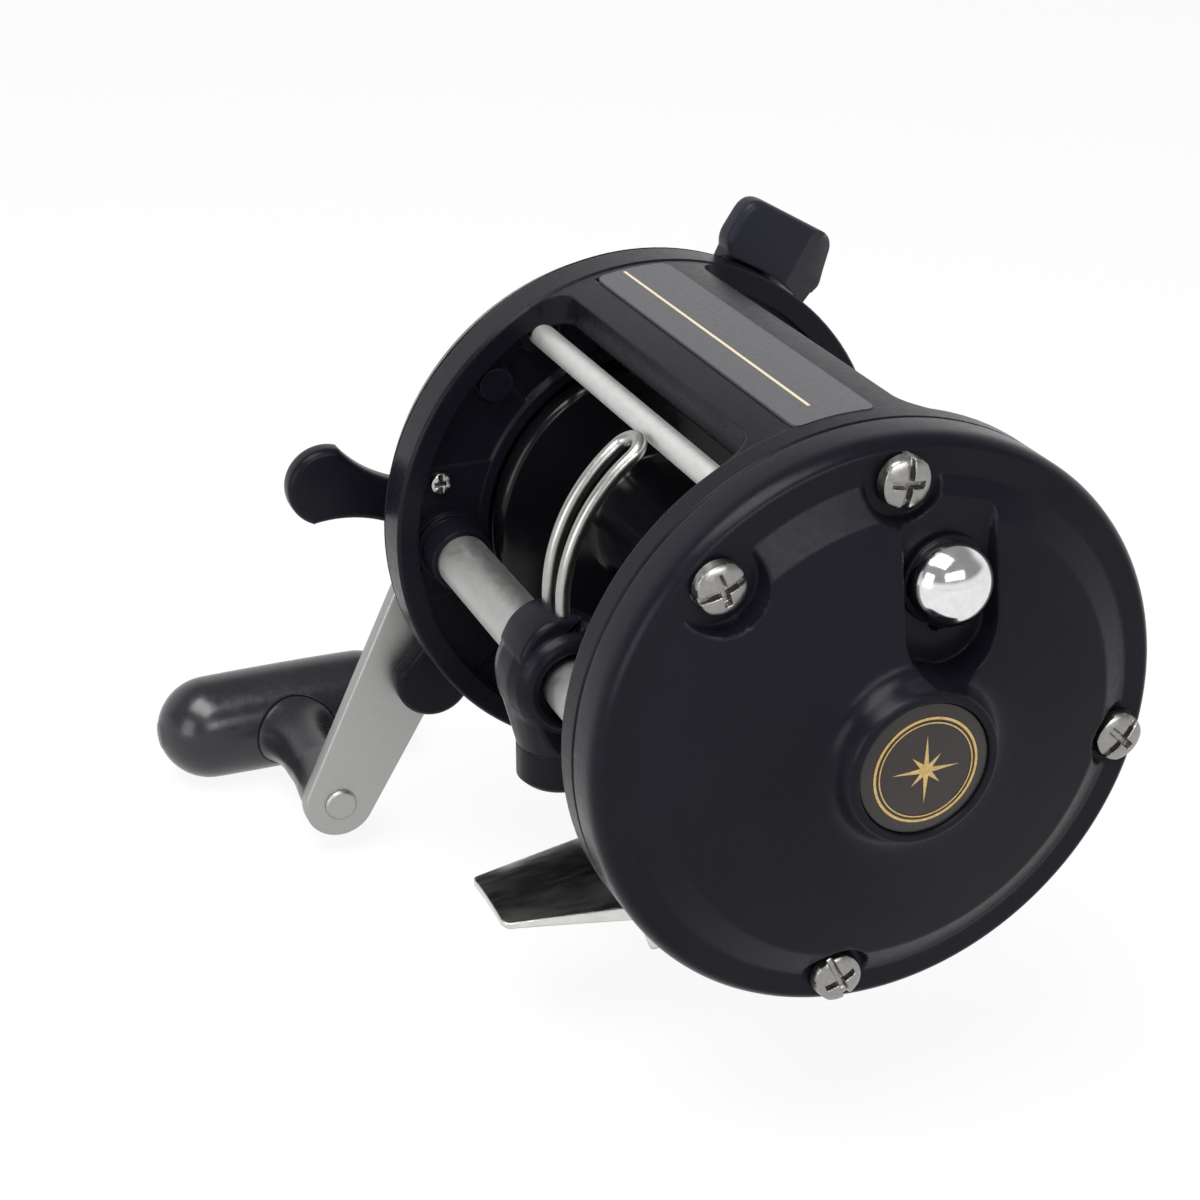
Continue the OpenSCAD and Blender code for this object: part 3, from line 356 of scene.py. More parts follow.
metalSpecs = {
    "crossbar_satin": {"dark": (0.6, 0.6, 0.59), "light": (0.64, 0.64, 0.63), "rough": (0.54, 0.6),
                       "scale": 900, "bump": 0.01},
    "tube_satin": {"dark": (0.44, 0.44, 0.43), "light": (0.48, 0.48, 0.47), "rough": (0.44, 0.5),
                   "scale": 900, "bump": 0.01},
    "satin_aluminium_arm": {"dark": (0.36, 0.36, 0.35), "light": (0.4, 0.4, 0.39), "rough": (0.42, 0.5),
                            "scale": 3400, "bump": 0.06, "edge": 0.0003},
    "polished_stainless": {"dark": (0.42, 0.42, 0.41), "light": (0.5, 0.5, 0.49), "rough": (0.16, 0.24),
                           "scale": 1800, "bump": 0.03},
    "screw_satin": {"dark": (0.27, 0.265, 0.255), "light": (0.31, 0.305, 0.295), "rough": (0.26, 0.34),
                    "scale": 1500, "bump": 0.02},
    "guide_wire_satin": {"dark": (0.36, 0.36, 0.345), "light": (0.4, 0.4, 0.385), "rough": (0.28, 0.34),
                         "scale": 900, "bump": 0.01},
    "bright_chrome_finish": {"dark": (0.72, 0.72, 0.72), "light": (0.8, 0.8, 0.8), "rough": (0.1, 0.13),
                             "scale": 900, "bump": 0.002, "edge": 0.0},
    "foot_chrome": {"dark": (0.6, 0.6, 0.58), "light": (0.7, 0.7, 0.68), "rough": (0.16, 0.26),
                    "scale": 1200, "stretch": (1, 0.15, 1), "bump": 0.03, "edge": 0.0004},
    "turned_brass": {"dark": (0.5, 0.34, 0.13), "light": (0.62, 0.44, 0.19), "rough": (0.25, 0.36),
                     "scale": 1500, "bump": 0.05},
    "label_gilt": {"dark": (0.66, 0.56, 0.38), "light": (0.74, 0.64, 0.45), "rough": (0.3, 0.4),
                   "scale": 2200, "bump": 0.02, "edge": 0.0, "metallic": 0.35},
    "gold_leaf": {"dark": (0.5, 0.35, 0.14), "light": (0.68, 0.48, 0.21), "rough": (0.26, 0.38),
                  "scale": 2200, "bump": 0.03, "edge": 0.0},
}

plastics = {name: makeMoulded(name, spec) for name, spec in mouldedSpecs.items()}
metals = {name: makeMetal(name, spec) for name, spec in metalSpecs.items()}
black = plastics["moulded_black_composite"]
spoolBlack = makeGloss("spool_gloss_black", glossBlack)
labelGrey = makeLabel("label_metallic_grey", labelPaint)

finishes = {
    black: ["frame", "left_side_plate", "right_side_plate", "guide_carriage", "pawl_cap", "star_drag"],
    plastics["lever_black"]: ["clutch_lever"],
    plastics["grip_black_satin"]: ["handle_grip"],
    spoolBlack: ["spool"],
    metals["crossbar_satin"]: ["crossbar"],
    metals["tube_satin"]: ["level_wind_tube"],
    metals["satin_aluminium_arm"]: ["handle_arm", "nut_retainer", "grip_rivet"],
    metals["polished_stainless"]: [
        "left_plate_screws", "right_plate_screws", "foot_screws", "tube_screw", "bridge_plate",
        "bridge_screws", "left_spool_bearing", "idler_pin", "yoke_posts", "yoke_springs", "dog_pin",
        "spool_shaft", "worm_shaft", "guide_wires", "guide_pawl", "drive_shaft", "drive_ratchet",
        "handle_nut", "retainer_screw", "clutch_jack", "clutch_yoke", "click_tongue", "anti_reverse_dog"],
    metals["bright_chrome_finish"]: ["click_button"],
    metals["foot_chrome"]: ["reel_foot"],
    metals["turned_brass"]: ["worm_bushes", "right_spool_bush", "drive_bush", "click_ratchet", "drive_gear",
                             "pinion"],
    labelGrey: ["label_plate"],
    plastics["medallion_bronze_enamel"]: ["medallion"],
    plastics["gear_nylon_white"]: ["take_off_gear", "idler_gear", "worm_gear"],
    plastics["drag_washer_fibre"]: ["drag_washers"],
}
for material, names in finishes.items():
    for name in names:
        slots = nodes[name].data.materials
        slots.clear()
        slots.append(material)
print("materials done")


# spool

spoolSpec = {"half": 29.0, "flange": 24.5, "arbor": 9.5, "shaft": 2.5, "edge": 0.5, "turn": 160}


# turned about the spool axis: one side's profile, its mirror image, and the bore that closes them
def buildSpool(s):
    a, f, h = s["half"], s["flange"], s["arbor"]
    side = [(s["shaft"], a + 7.2), (8, a + 7.2), (8.6, a + 6.2), (19.6, a + 5), (21.4, a + 6.4),
            (f - 0.9, a + 6.8), (f, a + 6), (f, a + 3.4), (f - 0.7, a + 2.6), (h + 4, a + 1.2),
            (h + 1, a + 0.4), (h, a - 0.8)]
    soft = roundCorners(side, s["edge"])
    whole = np.concatenate([soft, (soft * [1, -1])[::-1], soft[:1]])
    gridPiece("line_spool_body", [turnedGrid(whole, turn=s["turn"])], "line_spool", spoolBlack,
              ["spool"], crease=50)


buildSpool(spoolSpec)


# click button

clickSpec = {"floor": -46.2, "lift": 0.1, "base": 6.0, "baseRise": 1.1, "baseEdge": 0.35, "stem": 0.8,
             "stemEnd": -43.0, "dome": 5.7, "rise": 5.0, "straight": 0.5, "domeEdge": 0.3, "lap": 0.1}


# a flat black base with a turned stem, and on it a bright dome: a quarter ellipse over a short straight skirt
def buildClicker(s):
    at = nodeYz("click_button")
    wide, thin, end = s["base"], s["stem"], s["stemEnd"]
    under, seat = s["floor"] - s["lift"], s["floor"] - s["baseRise"]
    base = roundCorners([(0, end), (thin, end), (thin, under), (wide, under), (wide, seat), (0, seat)],
                        s["baseEdge"])
    gridPiece("click_button_base", [turnedGrid(base, at, 72)], "clicker", black, crease=40)
    t = np.linspace(0, np.pi / 2, 33)
    arc = np.stack([s["dome"] * np.cos(t), seat - s["straight"] - s["rise"] * np.sin(t)], -1)
    skirt = [(0, seat + s["lap"]), (s["dome"] - s["domeEdge"], seat + s["lap"]), (s["dome"], seat)]
    dome = turnedGrid(np.concatenate([skirt, arc]), at, 112)
    gridPiece("click_button_dome", [dome], "clicker", metals["bright_chrome_finish"],
              ["click_button"], crease=40)


buildClicker(clickSpec)


# medallion inlay

medalSpec = {"face": -54.88, "outer": (7.3, 6.95), "outerRoot": 0.25, "inner": (6.6, 6.42), "innerRoot": 0.2,
             "height": 0.35, "turn": 128, "star": 5.3, "short": 3.5, "waist": 1.25, "rim": 0.16, "fall": 0.02,
             "root": 0.35, "ridge": 0.35}


# raised ring: a four-cornered section turned about the axis
def ringGrid(radii, x, height, turn):
    out, inside = radii
    section = [(inside, x), (inside, x - height), (out, x - height), (out, x), (inside, x)]
    return turnedGrid(section, turn=turn)


# eight-pointed rose: tips and waists in turn round the rim, raised to a ridge in the middle
def roseGrid(s):
    k = np.arange(16)
    r = np.where(k % 2 == 1, s["waist"], np.where(k % 4 == 0, s["star"], s["short"]))
    a = k * np.pi / 8
    rim = np.stack([s["face"] - s["rim"] + s["fall"] * r, r * np.cos(a), r * np.sin(a)], -1)
    low = rim + [s["root"], 0, 0]
    top = np.broadcast_to([s["face"] - s["ridge"], 0, 0], rim.shape)
    return {"points": np.stack([low, rim, top]), "capStart": True}


def buildMedallion(s):
    grids = [ringGrid(s["outer"], s["face"] + s["outerRoot"], s["height"], s["turn"]),
             ringGrid(s["inner"], s["face"] + s["innerRoot"], s["height"], s["turn"]), roseGrid(s)]
    gridPiece("medallion_gold_inlay", grids, "reel_frame", metals["gold_leaf"], flat=True)


buildMedallion(medalSpec)


# label and its gold line

labelSpec = {"y": (-2.3, 8.9), "x": (-33.8, 31.2), "top": 40.1, "under": 39.35, "corner": 1.3}


# strip on a cylinder: a thin closed section along X for every row of y, shorter in the rounded corners
def buildLabel(s):
    y = np.linspace(*s["y"], 57)[:, None]
    d = np.clip(np.minimum(y - s["y"][0], s["y"][1] - y), 0, s["corner"])
    inset = s["corner"] - np.sqrt(np.clip(s["corner"] ** 2 - (s["corner"] - d) ** 2, 0, None))
    t = np.linspace(0, 1, 20)[None]
    x = s["x"][0] + inset + (s["x"][1] - s["x"][0] - 2 * inset) * np.concatenate([t, t[:, ::-1]], 1)
    r = np.concatenate([s["top"] + 0 * t, s["under"] + 0 * t], 1)
    points = np.stack([x, y + 0 * x, np.sqrt(r ** 2 - y ** 2)], -1)
    gridPiece("label_plate_printed", [cappedGrid(points)], "reel_frame", labelGrey,
              ["label_plate"], crease=30)


buildLabel(labelSpec)

lineSpec = {"y": 4.9, "width": 0.4, "x": (-29.4, 30.2), "sunk": 0.1, "rise": 0.05}


# strip on the label's cylinder: four-cornered section swept along X
def buildLabelLine(s, ground):
    low, high = ground - s["sunk"], ground + s["rise"]
    r = np.array([low, high, high, low])
    half = s["width"] / 2 / ground
    a = math.acos(s["y"] / ground) + np.array([-half, -half, half, half])
    x = np.linspace(*s["x"], 24)[:, None]
    points = np.stack([x + 0 * a, 0 * x + r * np.cos(a), 0 * x + r * np.sin(a)], -1)
    gridPiece("label_gold_line", [cappedGrid(points)], "reel_frame", metals["label_gilt"],
              flat=True)


buildLabelLine(lineSpec, labelSpec["top"])


# guide wires

wireSpec = {"x": -10.0, "gap": 4.8, "radius": 1.0, "bend": 25.0, "top": 52.5, "rise": 9.2, "foot": 7.2,
            "ahead": 0.35, "sides": 24}


# up one wire on an arc, round a half circle in the plane of the arc's end, and down the other
def buildWires(s):
    tube = jointYz("worm_spin")
    y, bend, g = tube[0] + s["ahead"], s["bend"], s["gap"] / 2
    a = np.radians(np.linspace(0, s["top"], 40))
    n = np.stack([0 * a, np.cos(a), np.sin(a)], -1)
    mid = np.stack([0 * a + s["x"], y - bend + bend * np.cos(a), s["rise"] + bend * np.sin(a)], -1)
    t = np.array([0, -math.sin(a[-1]), math.cos(a[-1])])
    b = np.linspace(0, np.pi, 26)[1:-1, None]
    side = np.cos(b) * [1, 0, 0] + np.sin(b) * t
    ex = np.array([[1.0, 0, 0]])
    foot = np.array([[s["x"], y, tube[1] + s["foot"]]])
    path = np.concatenate([foot + g * ex, mid + g * ex, mid[-1] + g * side, (mid - g * ex)[::-1],
                           foot - g * ex])
    sideAll = np.concatenate([ex, np.repeat(ex, len(a), 0), side, np.repeat(-ex, len(a), 0), -ex])
    overAll = np.concatenate([n[:1], n, np.repeat(n[-1:], len(b), 0), n[::-1], n[:1]])
    grid = tubeGrid(path, sideAll, overAll, s["radius"], s["sides"])
    gridPiece("guide_wire_pair", [grid], "line_guide", metals["guide_wire_satin"],
              ["guide_wires"], crease=60)


buildWires(wireSpec)


# line guide's carriage

carriageSpec = {"x": -10.0, "half": 6.0, "radius": 8.3, "bore": 4.07, "mouth": 5.2, "mouthDepth": 1.4,
                "edges": ((4, 0), (1.8, 0.6), (0.7, 1.3), (0, 2.2)),  # distance from an end, drop of radius
                "foot": -10.2, "footR": 6.0, "flankR": 8.05, "flankIn": 0.25, "flankSunk": 0.15,
                "leastDrop": 2, "wellShare": 0.7, "wellDepth": 2.5, "shoulder": 4.3, "shoulderEdge": 1.0,
                "back": -6.4, "edge": 0.2, "roundEnd": 2.4, "plain": 4,
                "crest": ((-1.9, 5.2), (3, 4.4), (5.6, 2.4), (7.2, 4.4), (5.6, 7.6), (2.8, 9.5), (-1.9, 9.5)),
                "crestCut": (0.3, 0.3, 0.3, 0.8, 1.6, 1.6, 0.8)}


# outer radius of the barrel at a distance from its middle
def barrelRadius(s, d):
    back, drop = np.array(s["edges"]).T
    return np.interp(d, s["half"] - back, s["radius"] - drop)


# barrel: a turned ring; flank: a cone about Z whose upper edge runs on the barrel; shoulder: a rounded slab
def buildCarriage(s):
    tube = jointYz("worm_spin")
    h, x, foot = s["half"], s["x"], s["foot"]
    ends, plain = h - s["roundEnd"], h - s["plain"]
    d = np.concatenate([np.linspace(-h, -ends, 9), np.linspace(-plain, plain, 3), np.linspace(ends, h, 9)])
    outer = np.stack([barrelRadius(s, abs(d)), x + d], -1)
    m, b, k = s["mouth"], s["bore"], h - s["mouthDepth"]
    inner = [(m, x + h), (m, x + k), (b, x + k), (b, x - k), (m, x - k), (m, x - h)]
    ring = turnedGrid(roundCorners(np.concatenate([outer, inner, outer[:1]]), s["edge"], 3), tube)
    a = np.linspace(0, 2 * np.pi, 96, endpoint=False)[None]
    t = np.linspace(0, 1, 9)[:, None]
    r = s["footR"] + (s["flankR"] - s["footR"]) * t
    dx = np.clip(r * np.cos(a), -h + s["flankIn"], h - s["flankIn"])
    dy = r * np.sin(a)
    seat = barrelRadius(s, abs(dx[-1])) - s["flankSunk"]
    edge = -np.sqrt(np.clip(seat ** 2 - dy[-1] ** 2, s["leastDrop"] ** 2, None))
    flank = np.stack([x + dx, tube[0] + dy, tube[1] + foot + (edge - foot) * t], -1)
    under = np.stack([x + 0 * a, tube[0] + 0 * a, tube[1] + foot + 0 * a], -1)
    share, deep = s["wellShare"], s["wellDepth"]
    well = np.stack([x + dx[:1] * share, tube[0] + dy[:1] * share, tube[1] + foot + deep + 0 * a], -1)
    cup = {"points": np.concatenate([under, flank, well, under + [0, 0, deep]])}
    for grid in (ring, cup):
        grid["points"][..., 1] = np.maximum(grid["points"][..., 1], tube[0] + s["back"])
    crest = roundedLoop(s["crest"], s["crestCut"]) + tube
    shoulder = slabGrid(crest, roundedRows(x - s["shoulder"], x + s["shoulder"], s["shoulderEdge"]))
    gridPiece("guide_carriage_moulded", [ring, cup, shoulder], "line_guide", black,
              ["guide_carriage"], crease=40)


buildCarriage(carriageSpec)


# rod foot

footSpec = {"axis": -spoolZ, "saddle": 12.0, "thick": 2.2, "length": 77.4, "mid": 10.8, "tip": 7.1,
            "corner": 1.5, "pad": 17.2, "flat": 19.8, "taper": 19.0, "crown": 0.0105, "thin": 0.075,
            "screw": 11.0, "pocket": 3.2, "pocketEdge": 0.4, "seat": 0.3}


# saddle over the rod that opens out into two blades: at each y a closed section between an upper and a lower
# line, both blended from a circle to a flat crown; the width falls off to the tips and the upper line drops
# towards them; the lower line rises to a level seat round each screw head
def buildFoot(s):
    end, round0 = s["length"] / 2, s["length"] / 2 - s["corner"]
    y = np.concatenate([np.linspace(0, s["pad"], 42), np.linspace(s["pad"], s["flat"], 9)[1:],
                        np.linspace(s["flat"], round0, 9)[1:], end - s["corner"] * np.linspace(0.8, 0, 5)])
    y = np.concatenate([-y[:0:-1], y])[:, None]
    away = abs(y)
    w = np.interp(away, [s["taper"], round0], [s["mid"], s["tip"]])
    turned = np.clip((away - round0) / s["corner"], 0, 1)
    w = w - s["corner"] * (1 - np.sqrt(1 - turned ** 2))
    t = np.linspace(-1, 1, 53)[None]
    x = w * np.concatenate([t, t[:, ::-1]], 1)
    upper = np.concatenate([t * 0 + 1, t * 0], 1)
    arc = s["axis"] + np.sqrt((s["saddle"] + s["thick"] * upper) ** 2 - x ** 2)
    blade = s["axis"] + s["saddle"] + s["thick"] * upper - s["crown"] * x ** 2
    z = arc + (blade - arc) * smoothStep(s["pad"], s["flat"], away)
    z = z - upper * s["thin"] * np.clip(away - s["flat"], 0, None)
    reach = np.hypot(x, away - s["screw"])
    sunk = (1 - upper) * (1 - smoothStep(s["pocket"], s["pocket"] + s["pocketEdge"], reach))
    z = z + sunk * (s["axis"] + s["saddle"] + s["seat"] - z)
    points = np.stack([x, y + 0 * x, z], -1)
    gridPiece("reel_foot_stamped", [cappedGrid(points)], "reel_frame", metals["foot_chrome"],
              ["reel_foot"], crease=40)


buildFoot(footSpec)


# springs of the clutch yoke

springSpec = {"place": 11.5, "angles": (73, 253), "radius": 1.7, "wire": 0.26, "sides": 10, "turns": 3,
              "travel": 1.5, "slack": 0.1}


# wire on a helix about an X axis, one coil at each spring's place round the spool axis
def buildSprings(s):
    low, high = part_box("yoke_springs")
    x0, x1 = low.x * 1000, high.x * 1000
    a = np.linspace(0, 2 * np.pi * s["turns"], 24 * s["turns"] + 1)
    ray = np.stack([0 * a, np.cos(a), np.sin(a)], -1)
    along = np.linspace(x0 + s["wire"], x1 - s["wire"], len(a))
    path = np.stack([along, 0 * a, 0 * a], -1) + s["radius"] * ray
    ex = np.array([[1.0, 0, 0]])
    places = [np.array([0, *(s["place"] * turnBy(angle))]) for angle in s["angles"]]
    grids = [tubeGrid(path + at, ray, ex, s["wire"], s["sides"]) for at in places]
    piece = gridPiece("yoke_spring_coils", grids, "reel_frame", metals["polished_stainless"],
                      ["yoke_springs"])
    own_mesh(piece)


buildSprings(springSpec)


# crossbar

barSpec = {"radius": 1.8, "end": 35.8, "turn": 64}


# plain turned rod
def buildBar(s):
    r, end = s["radius"], s["end"]
    rod = turnedGrid([(0, -end), (r, -end), (r, end), (0, end)], nodeYz("crossbar"), s["turn"])
    gridPiece("crossbar_rod", [rod], "reel_frame", metals["crossbar_satin"], ["crossbar"],
              crease=40)


buildBar(barSpec)


# worm shaft

wormSpec = {"radius": 2.8, "depth": 0.75, "width": 0.62, "lead": 11.0, "x": (-32.0, 32.0),
            "ends": (-39.7, 36.7), "runOut": 30.5, "fade": 1.5, "neck": 2.0, "chamfer": (0.1, 0.2),
            "turn": 64}


# radius falls in two helices of opposite hand, each a rounded groove, between two plain necks
def buildWorm(s):
    at = jointYz("worm_spin")
    x = np.linspace(*s["x"], 320)[:, None]
    a = np.linspace(0, 2 * np.pi, s["turn"], endpoint=False)[None]
    fade = np.clip((s["runOut"] - abs(x)) / s["fade"], 0, 1)

    def groove(hand):
        p = (a - hand * 2 * np.pi * x / s["lead"] + np.pi) % (2 * np.pi) - np.pi
        return np.exp(-(p * s["radius"] / s["width"]) ** 4)

    def neck(end, root, way):
        small = s["neck"] - s["chamfer"][0]
        rows = [(0, end), (small, end), (s["neck"], end + way * s["chamfer"][1]), (s["neck"], root)]
        return turnedGrid(rows[::way], at, s["turn"])["points"]

    r = s["radius"] - s["depth"] * fade * np.maximum(groove(1), groove(-1))
    body = np.stack([x + 0 * a, at[0] + r * np.cos(a), at[1] + r * np.sin(a)], -1)
    whole = np.concatenate([neck(s["ends"][0], s["x"][0], 1), body, neck(s["ends"][1], s["x"][1], -1)])
    gridPiece("worm_shaft_grooved", [{"points": whole}], "worm", metals["polished_stainless"],
              ["worm_shaft"], crease=45)


buildWorm(wormSpec)


# handle grip

gripSpec = {"root": 58.4, "bore": 2.07, "axis": 90.0, "radius": 9.0, "length": 45.0, "crown": 0.35,
            "crownEnd": 0.95, "stem": 4.75, "swell": 0.1, "flareFrom": 17.5, "straight": 5, "blend": 7.2,
            "oval": 0.9, "lead": 1.8, "sunk": 0.5, "turn": 96, "collarEnd": 9, "collarCut": 0.6,
            "collar": ((5.0, 0), (5.35, 0.5), (5.2, 4))}  # radius, distance from the root


# crowned capsule along Y; its stem runs along X and flares into it on a cubic curve at each angle
def buildGrip(s):
    at = jointYz("grip_spin")
    half, stem, lead = s["length"] / 2, s["stem"], s["lead"]
    yy = half * np.sin(np.linspace(-1, 1, 61) * np.pi / 2)[:, None]
    over = np.clip((abs(yy) - half + s["radius"]) / s["radius"], 0, 1)
    rr = s["radius"] * np.sqrt(np.clip(1 - over ** 2, 0, 1))
    rr = np.clip(rr - s["crown"] * (yy / half) ** 2 * (over < s["crownEnd"]), 0, None)
    a = np.linspace(0, 2 * np.pi, s["turn"], endpoint=False)
    c, n = np.cos(a)[None], np.sin(a)[None]
    barrel = np.stack([s["axis"] + rr * c, at[0] + yy + 0 * c, at[1] + rr * n], -1)
    end = s["blend"] + s["oval"] * c ** 2
    rise = end * n
    here = s["radius"] - s["crown"] * (end * c / half) ** 2
    deep = np.sqrt(here ** 2 - rise ** 2)
    x0, x1 = s["axis"] - s["flareFrom"], s["axis"] - deep + s["sunk"]
    px = [x0, x0 + s["straight"], x1 - lead * rise * n / deep, x1]
    pr = [stem + s["swell"], stem + 1.5 * s["swell"], end - lead, end]
    t = np.linspace(0, 1, 22)[:, None]
    weights = [(1 - t) ** 3, 3 * t * (1 - t) ** 2, 3 * t ** 2 * (1 - t), t ** 3]
    fx = sum(w * p for w, p in zip(weights, px)) + 0 * c
    fr = sum(w * p for w, p in zip(weights, pr)) + 0 * c
    flare = np.stack([fx, at[0] + fr * c, at[1] + fr * n], -1)
    root = s["root"]
    collar = [(r, root + d) for r, d in s["collar"]]
    neck = roundCorners([(s["bore"], root), *collar, (stem, root + s["collarEnd"]), (stem + s["swell"], x0)],
                        s["collarCut"])
    tee = np.concatenate([turnedGrid(neck, at, s["turn"])["points"], flare])
    gridPiece("handle_grip_moulded", [{"points": barrel}, {"points": tee}], "grip",
              plastics["grip_black_satin"], ["handle_grip"], crease=50)


buildGrip(gripSpec)


# star wheel

starSpec = {"arms": 4, "reach": 28.0, "end": 6.3, "angle": 21.0, "x": (50.3, 54.3), "edge": 1.15, "hub": 8.4,
            "bore": 3.57, "hubRise": (0.3, 0.5), "hubEdge": 0.4, "neck": 20.0, "neckFrom": 8, "waist": 0.55}


# outline of the wheel: each arm has two waists on large circles and a round end, and meets its neighbours in
# a corner
def starOutline(s):
    e, reach, big = s["end"], s["reach"], s["neck"]
    m = (reach + s["neckFrom"]) / 2
    w = big + e * s["waist"]
    u = np.linspace(m - math.sqrt(big ** 2 - (w - e) ** 2), reach - 0.05, 22)  # both stop short of the joint
    v = w - np.sqrt(big ** 2 - (u - m) ** 2)
    t = np.linspace(-np.pi / 2 + 0.03, np.pi / 2 - 0.03, 40)
    bulb = np.stack([reach + e * np.cos(t), e * np.sin(t)], -1)
    low = np.stack([u, -v], -1)
    arm = np.concatenate([[[e, -e]], low, bulb, low[::-1] * [1, -1]])
    k = np.radians(s["angle"] + np.arange(s["arms"]) * 360 / s["arms"])
    c, n = np.cos(k)[:, None], np.sin(k)[:, None]
    return np.stack([c * arm[:, 0] - n * arm[:, 1], n * arm[:, 0] + c * arm[:, 1]], -1).reshape(-1, 2)


# the outline as a rounded slab, with a turned hub
def buildStar(s):
    at = jointYz("star_turn")
    x0, x1 = s["x"][0] - s["hubRise"][0], s["x"][1] + s["hubRise"][1]
    section = [(s["bore"], x0), (s["hub"], x0), (s["hub"], x1), (s["bore"], x1), (s["bore"], x0)]
    hub = turnedGrid(roundCorners(section, s["hubEdge"], 4), at, 72)
    wheel = slabGrid(starOutline(s) + at, roundedRows(*s["x"], s["edge"]))
    gridPiece("star_wheel", [wheel, hub], "star", black, ["star_drag"], crease=50)


buildStar(starSpec)


# clutch lever

leverSpec = {"pad": (39.0, 43.6), "plate": (48.0, 50.4), "padAt": 45.2, "padAngle": 121.0, "edge": 1.3,
             "outline": ((-5, -5.2), (-2.8, -7), (4.6, -6.6), (4.9, 11), (-3.4, 14), (-6, 11), (-5, 3)),
             "corners": (1, 1.5, 3, 2.2, 1.8, 1.6, 3), "slant": 4.0, "near": 5.6, "far": 14.0,
             "rim": 40.5, "slope": 0.35, "slopeFrom": 0.4, "slopeEnd": 9, "slopeFade": 4,
             "sharpTo": -5, "sharpFade": 3, "inner": -4.6, "innerAt": -9,
             "neck": ((-4.2, 0.5), (-1.5, 0.5), (-1.5, 5.6), (-4.2, 5.6)), "neckEdge": 0.5, "neckIn": 1,
             "neckDrop": 0.02, "web": ((-4.4, -2.6), (4.4, 2.2)), "corner": 1, "pivot": 5.2,
             "bossRise": (0.1, 0.12), "bossEdge": 0.5, "pin": 3.0, "pinEnd": 41.6}


# pad: a rounded outline in (out, along) carried across the rim, clear of its circle, its rear end cut on a
# slant; neck and plate: rounded outlines from the pad to the pivot; pin: a plain turned stem
def buildLever(s):
    pivot = jointYz("clutch_throw")
    out, along = turnBy(s["padAngle"]), turnBy(s["padAngle"] + 90)
    c = s["padAt"] * out
    x0, x1 = s["pad"]
    p0, p1 = s["plate"]
    loop = roundedLoop(s["outline"], s["corners"])
    grid = slabGrid(loop, roundedRows(x0, x1, s["edge"], 9))["points"]
    sharp = np.clip((loop[:, :1] - s["sharpTo"]) / s["sharpFade"], 0, 1)  # sharp along the rim
    x, (u, v) = grid[..., 0], np.moveaxis(loop + (grid[..., 1:] - loop) * sharp, -1, 0)
    v = np.minimum(v, s["near"] + (s["far"] - s["near"]) * np.clip((x - x0) / s["slant"], 0, 1))
    fade = np.clip((s["slopeEnd"] - v) / s["slopeFade"], 0, 1)  # the rear end swings in closer to the plate
    rim = s["rim"] - s["slope"] * fade * np.clip(x - x0 - s["slopeFrom"], 0, None)
    u = np.where(loop[:, 0] < s["inner"], s["innerAt"], u)
    u = np.maximum(u, np.sqrt(rim ** 2 - v ** 2) - s["padAt"])
    pad = np.concatenate([grid[..., :1], c + u[..., None] * out + v[..., None] * along], -1)
    neck = [c + du * out + dv * along for du, dv in s["neck"]]
    web = [pivot + corner for corner in s["web"]] + neck[1:3]
    b0, b1 = p0 + s["bossRise"][0], p1 + s["bossRise"][1]
    boss = roundCorners([(0, b0), (s["pivot"], b0), (s["pivot"], b1), (0, b1)], s["bossEdge"])
    root = p0 + 2 * s["bossRise"][0]
    pin = [(0, s["pinEnd"]), (s["pin"], s["pinEnd"]), (s["pin"], root), (0, root)]
    neckRows = roundedRows(x1 - s["neckIn"], p1 - s["neckDrop"], s["neckEdge"], 4)
    grids = [cappedGrid(pad), slabGrid(roundedLoop(neck, s["corner"]), neckRows),
             slabGrid(roundedLoop(web, s["corner"]), roundedRows(p0, p1, s["neckEdge"], 4)),
             turnedGrid(boss, pivot, 64), turnedGrid(pin, pivot, 48)]
    gridPiece("clutch_lever_moulded", grids, "clutch", plastics["lever_black"],
              ["clutch_lever"], crease=22)


buildLever(leverSpec)


# handle arm

armSpec = {"hub": 8.6, "end": 5.9, "x": (55.2, 58.0), "edge": 0.4}


# two circles and their common tangents, edges rounded
def buildArm(s):
    a, e = jointYz("handle_crank"), jointYz("grip_spin")
    d = e - a
    heading = math.atan2(d[1], d[0])
    lean = math.acos((s["hub"] - s["end"]) / np.linalg.norm(d))
    te = heading + np.linspace(-lean, lean, 40)
    th = heading + np.linspace(lean, 2 * np.pi - lean, 56)
    outline = np.concatenate([e + s["end"] * np.stack([np.cos(te), np.sin(te)], -1),
                              a + s["hub"] * np.stack([np.cos(th), np.sin(th)], -1)])
    plate = slabGrid(outline, roundedRows(*s["x"], s["edge"], 5))
    gridPiece("handle_arm_plate", [plate], "crank", metals["satin_aluminium_arm"],
              ["handle_arm"], crease=50)


buildArm(armSpec)


# screws of the side plates

headSpec = {"radius": 3.5, "rise": 2.7, "rim": 0.42, "curve": 0.93, "rimFrom": 0.9, "slot": 0.42,
            "wall": 0.03, "slotDepth": 0.75, "reach": 0.6, "reachWall": (0.05, 0.06), "crossDepth": 1.15}
leftScrews = {"head": headSpec, "seat": -44.6, "way": -1, "circle": 35.0, "angles": (46, 90, 191, 280),
              "spins": (160, 97, 134, 65), "shank": 1.5, "depth": 9.0, "under": 0.01}
rightScrews = dict(leftScrews, head=dict(headSpec, radius=3.0, rise=2.4), seat=44.8, way=1, circle=33.6,
                   angles=(45, 95, 185, 285), spins=(10, 51, 92, 133), depth=10.4)


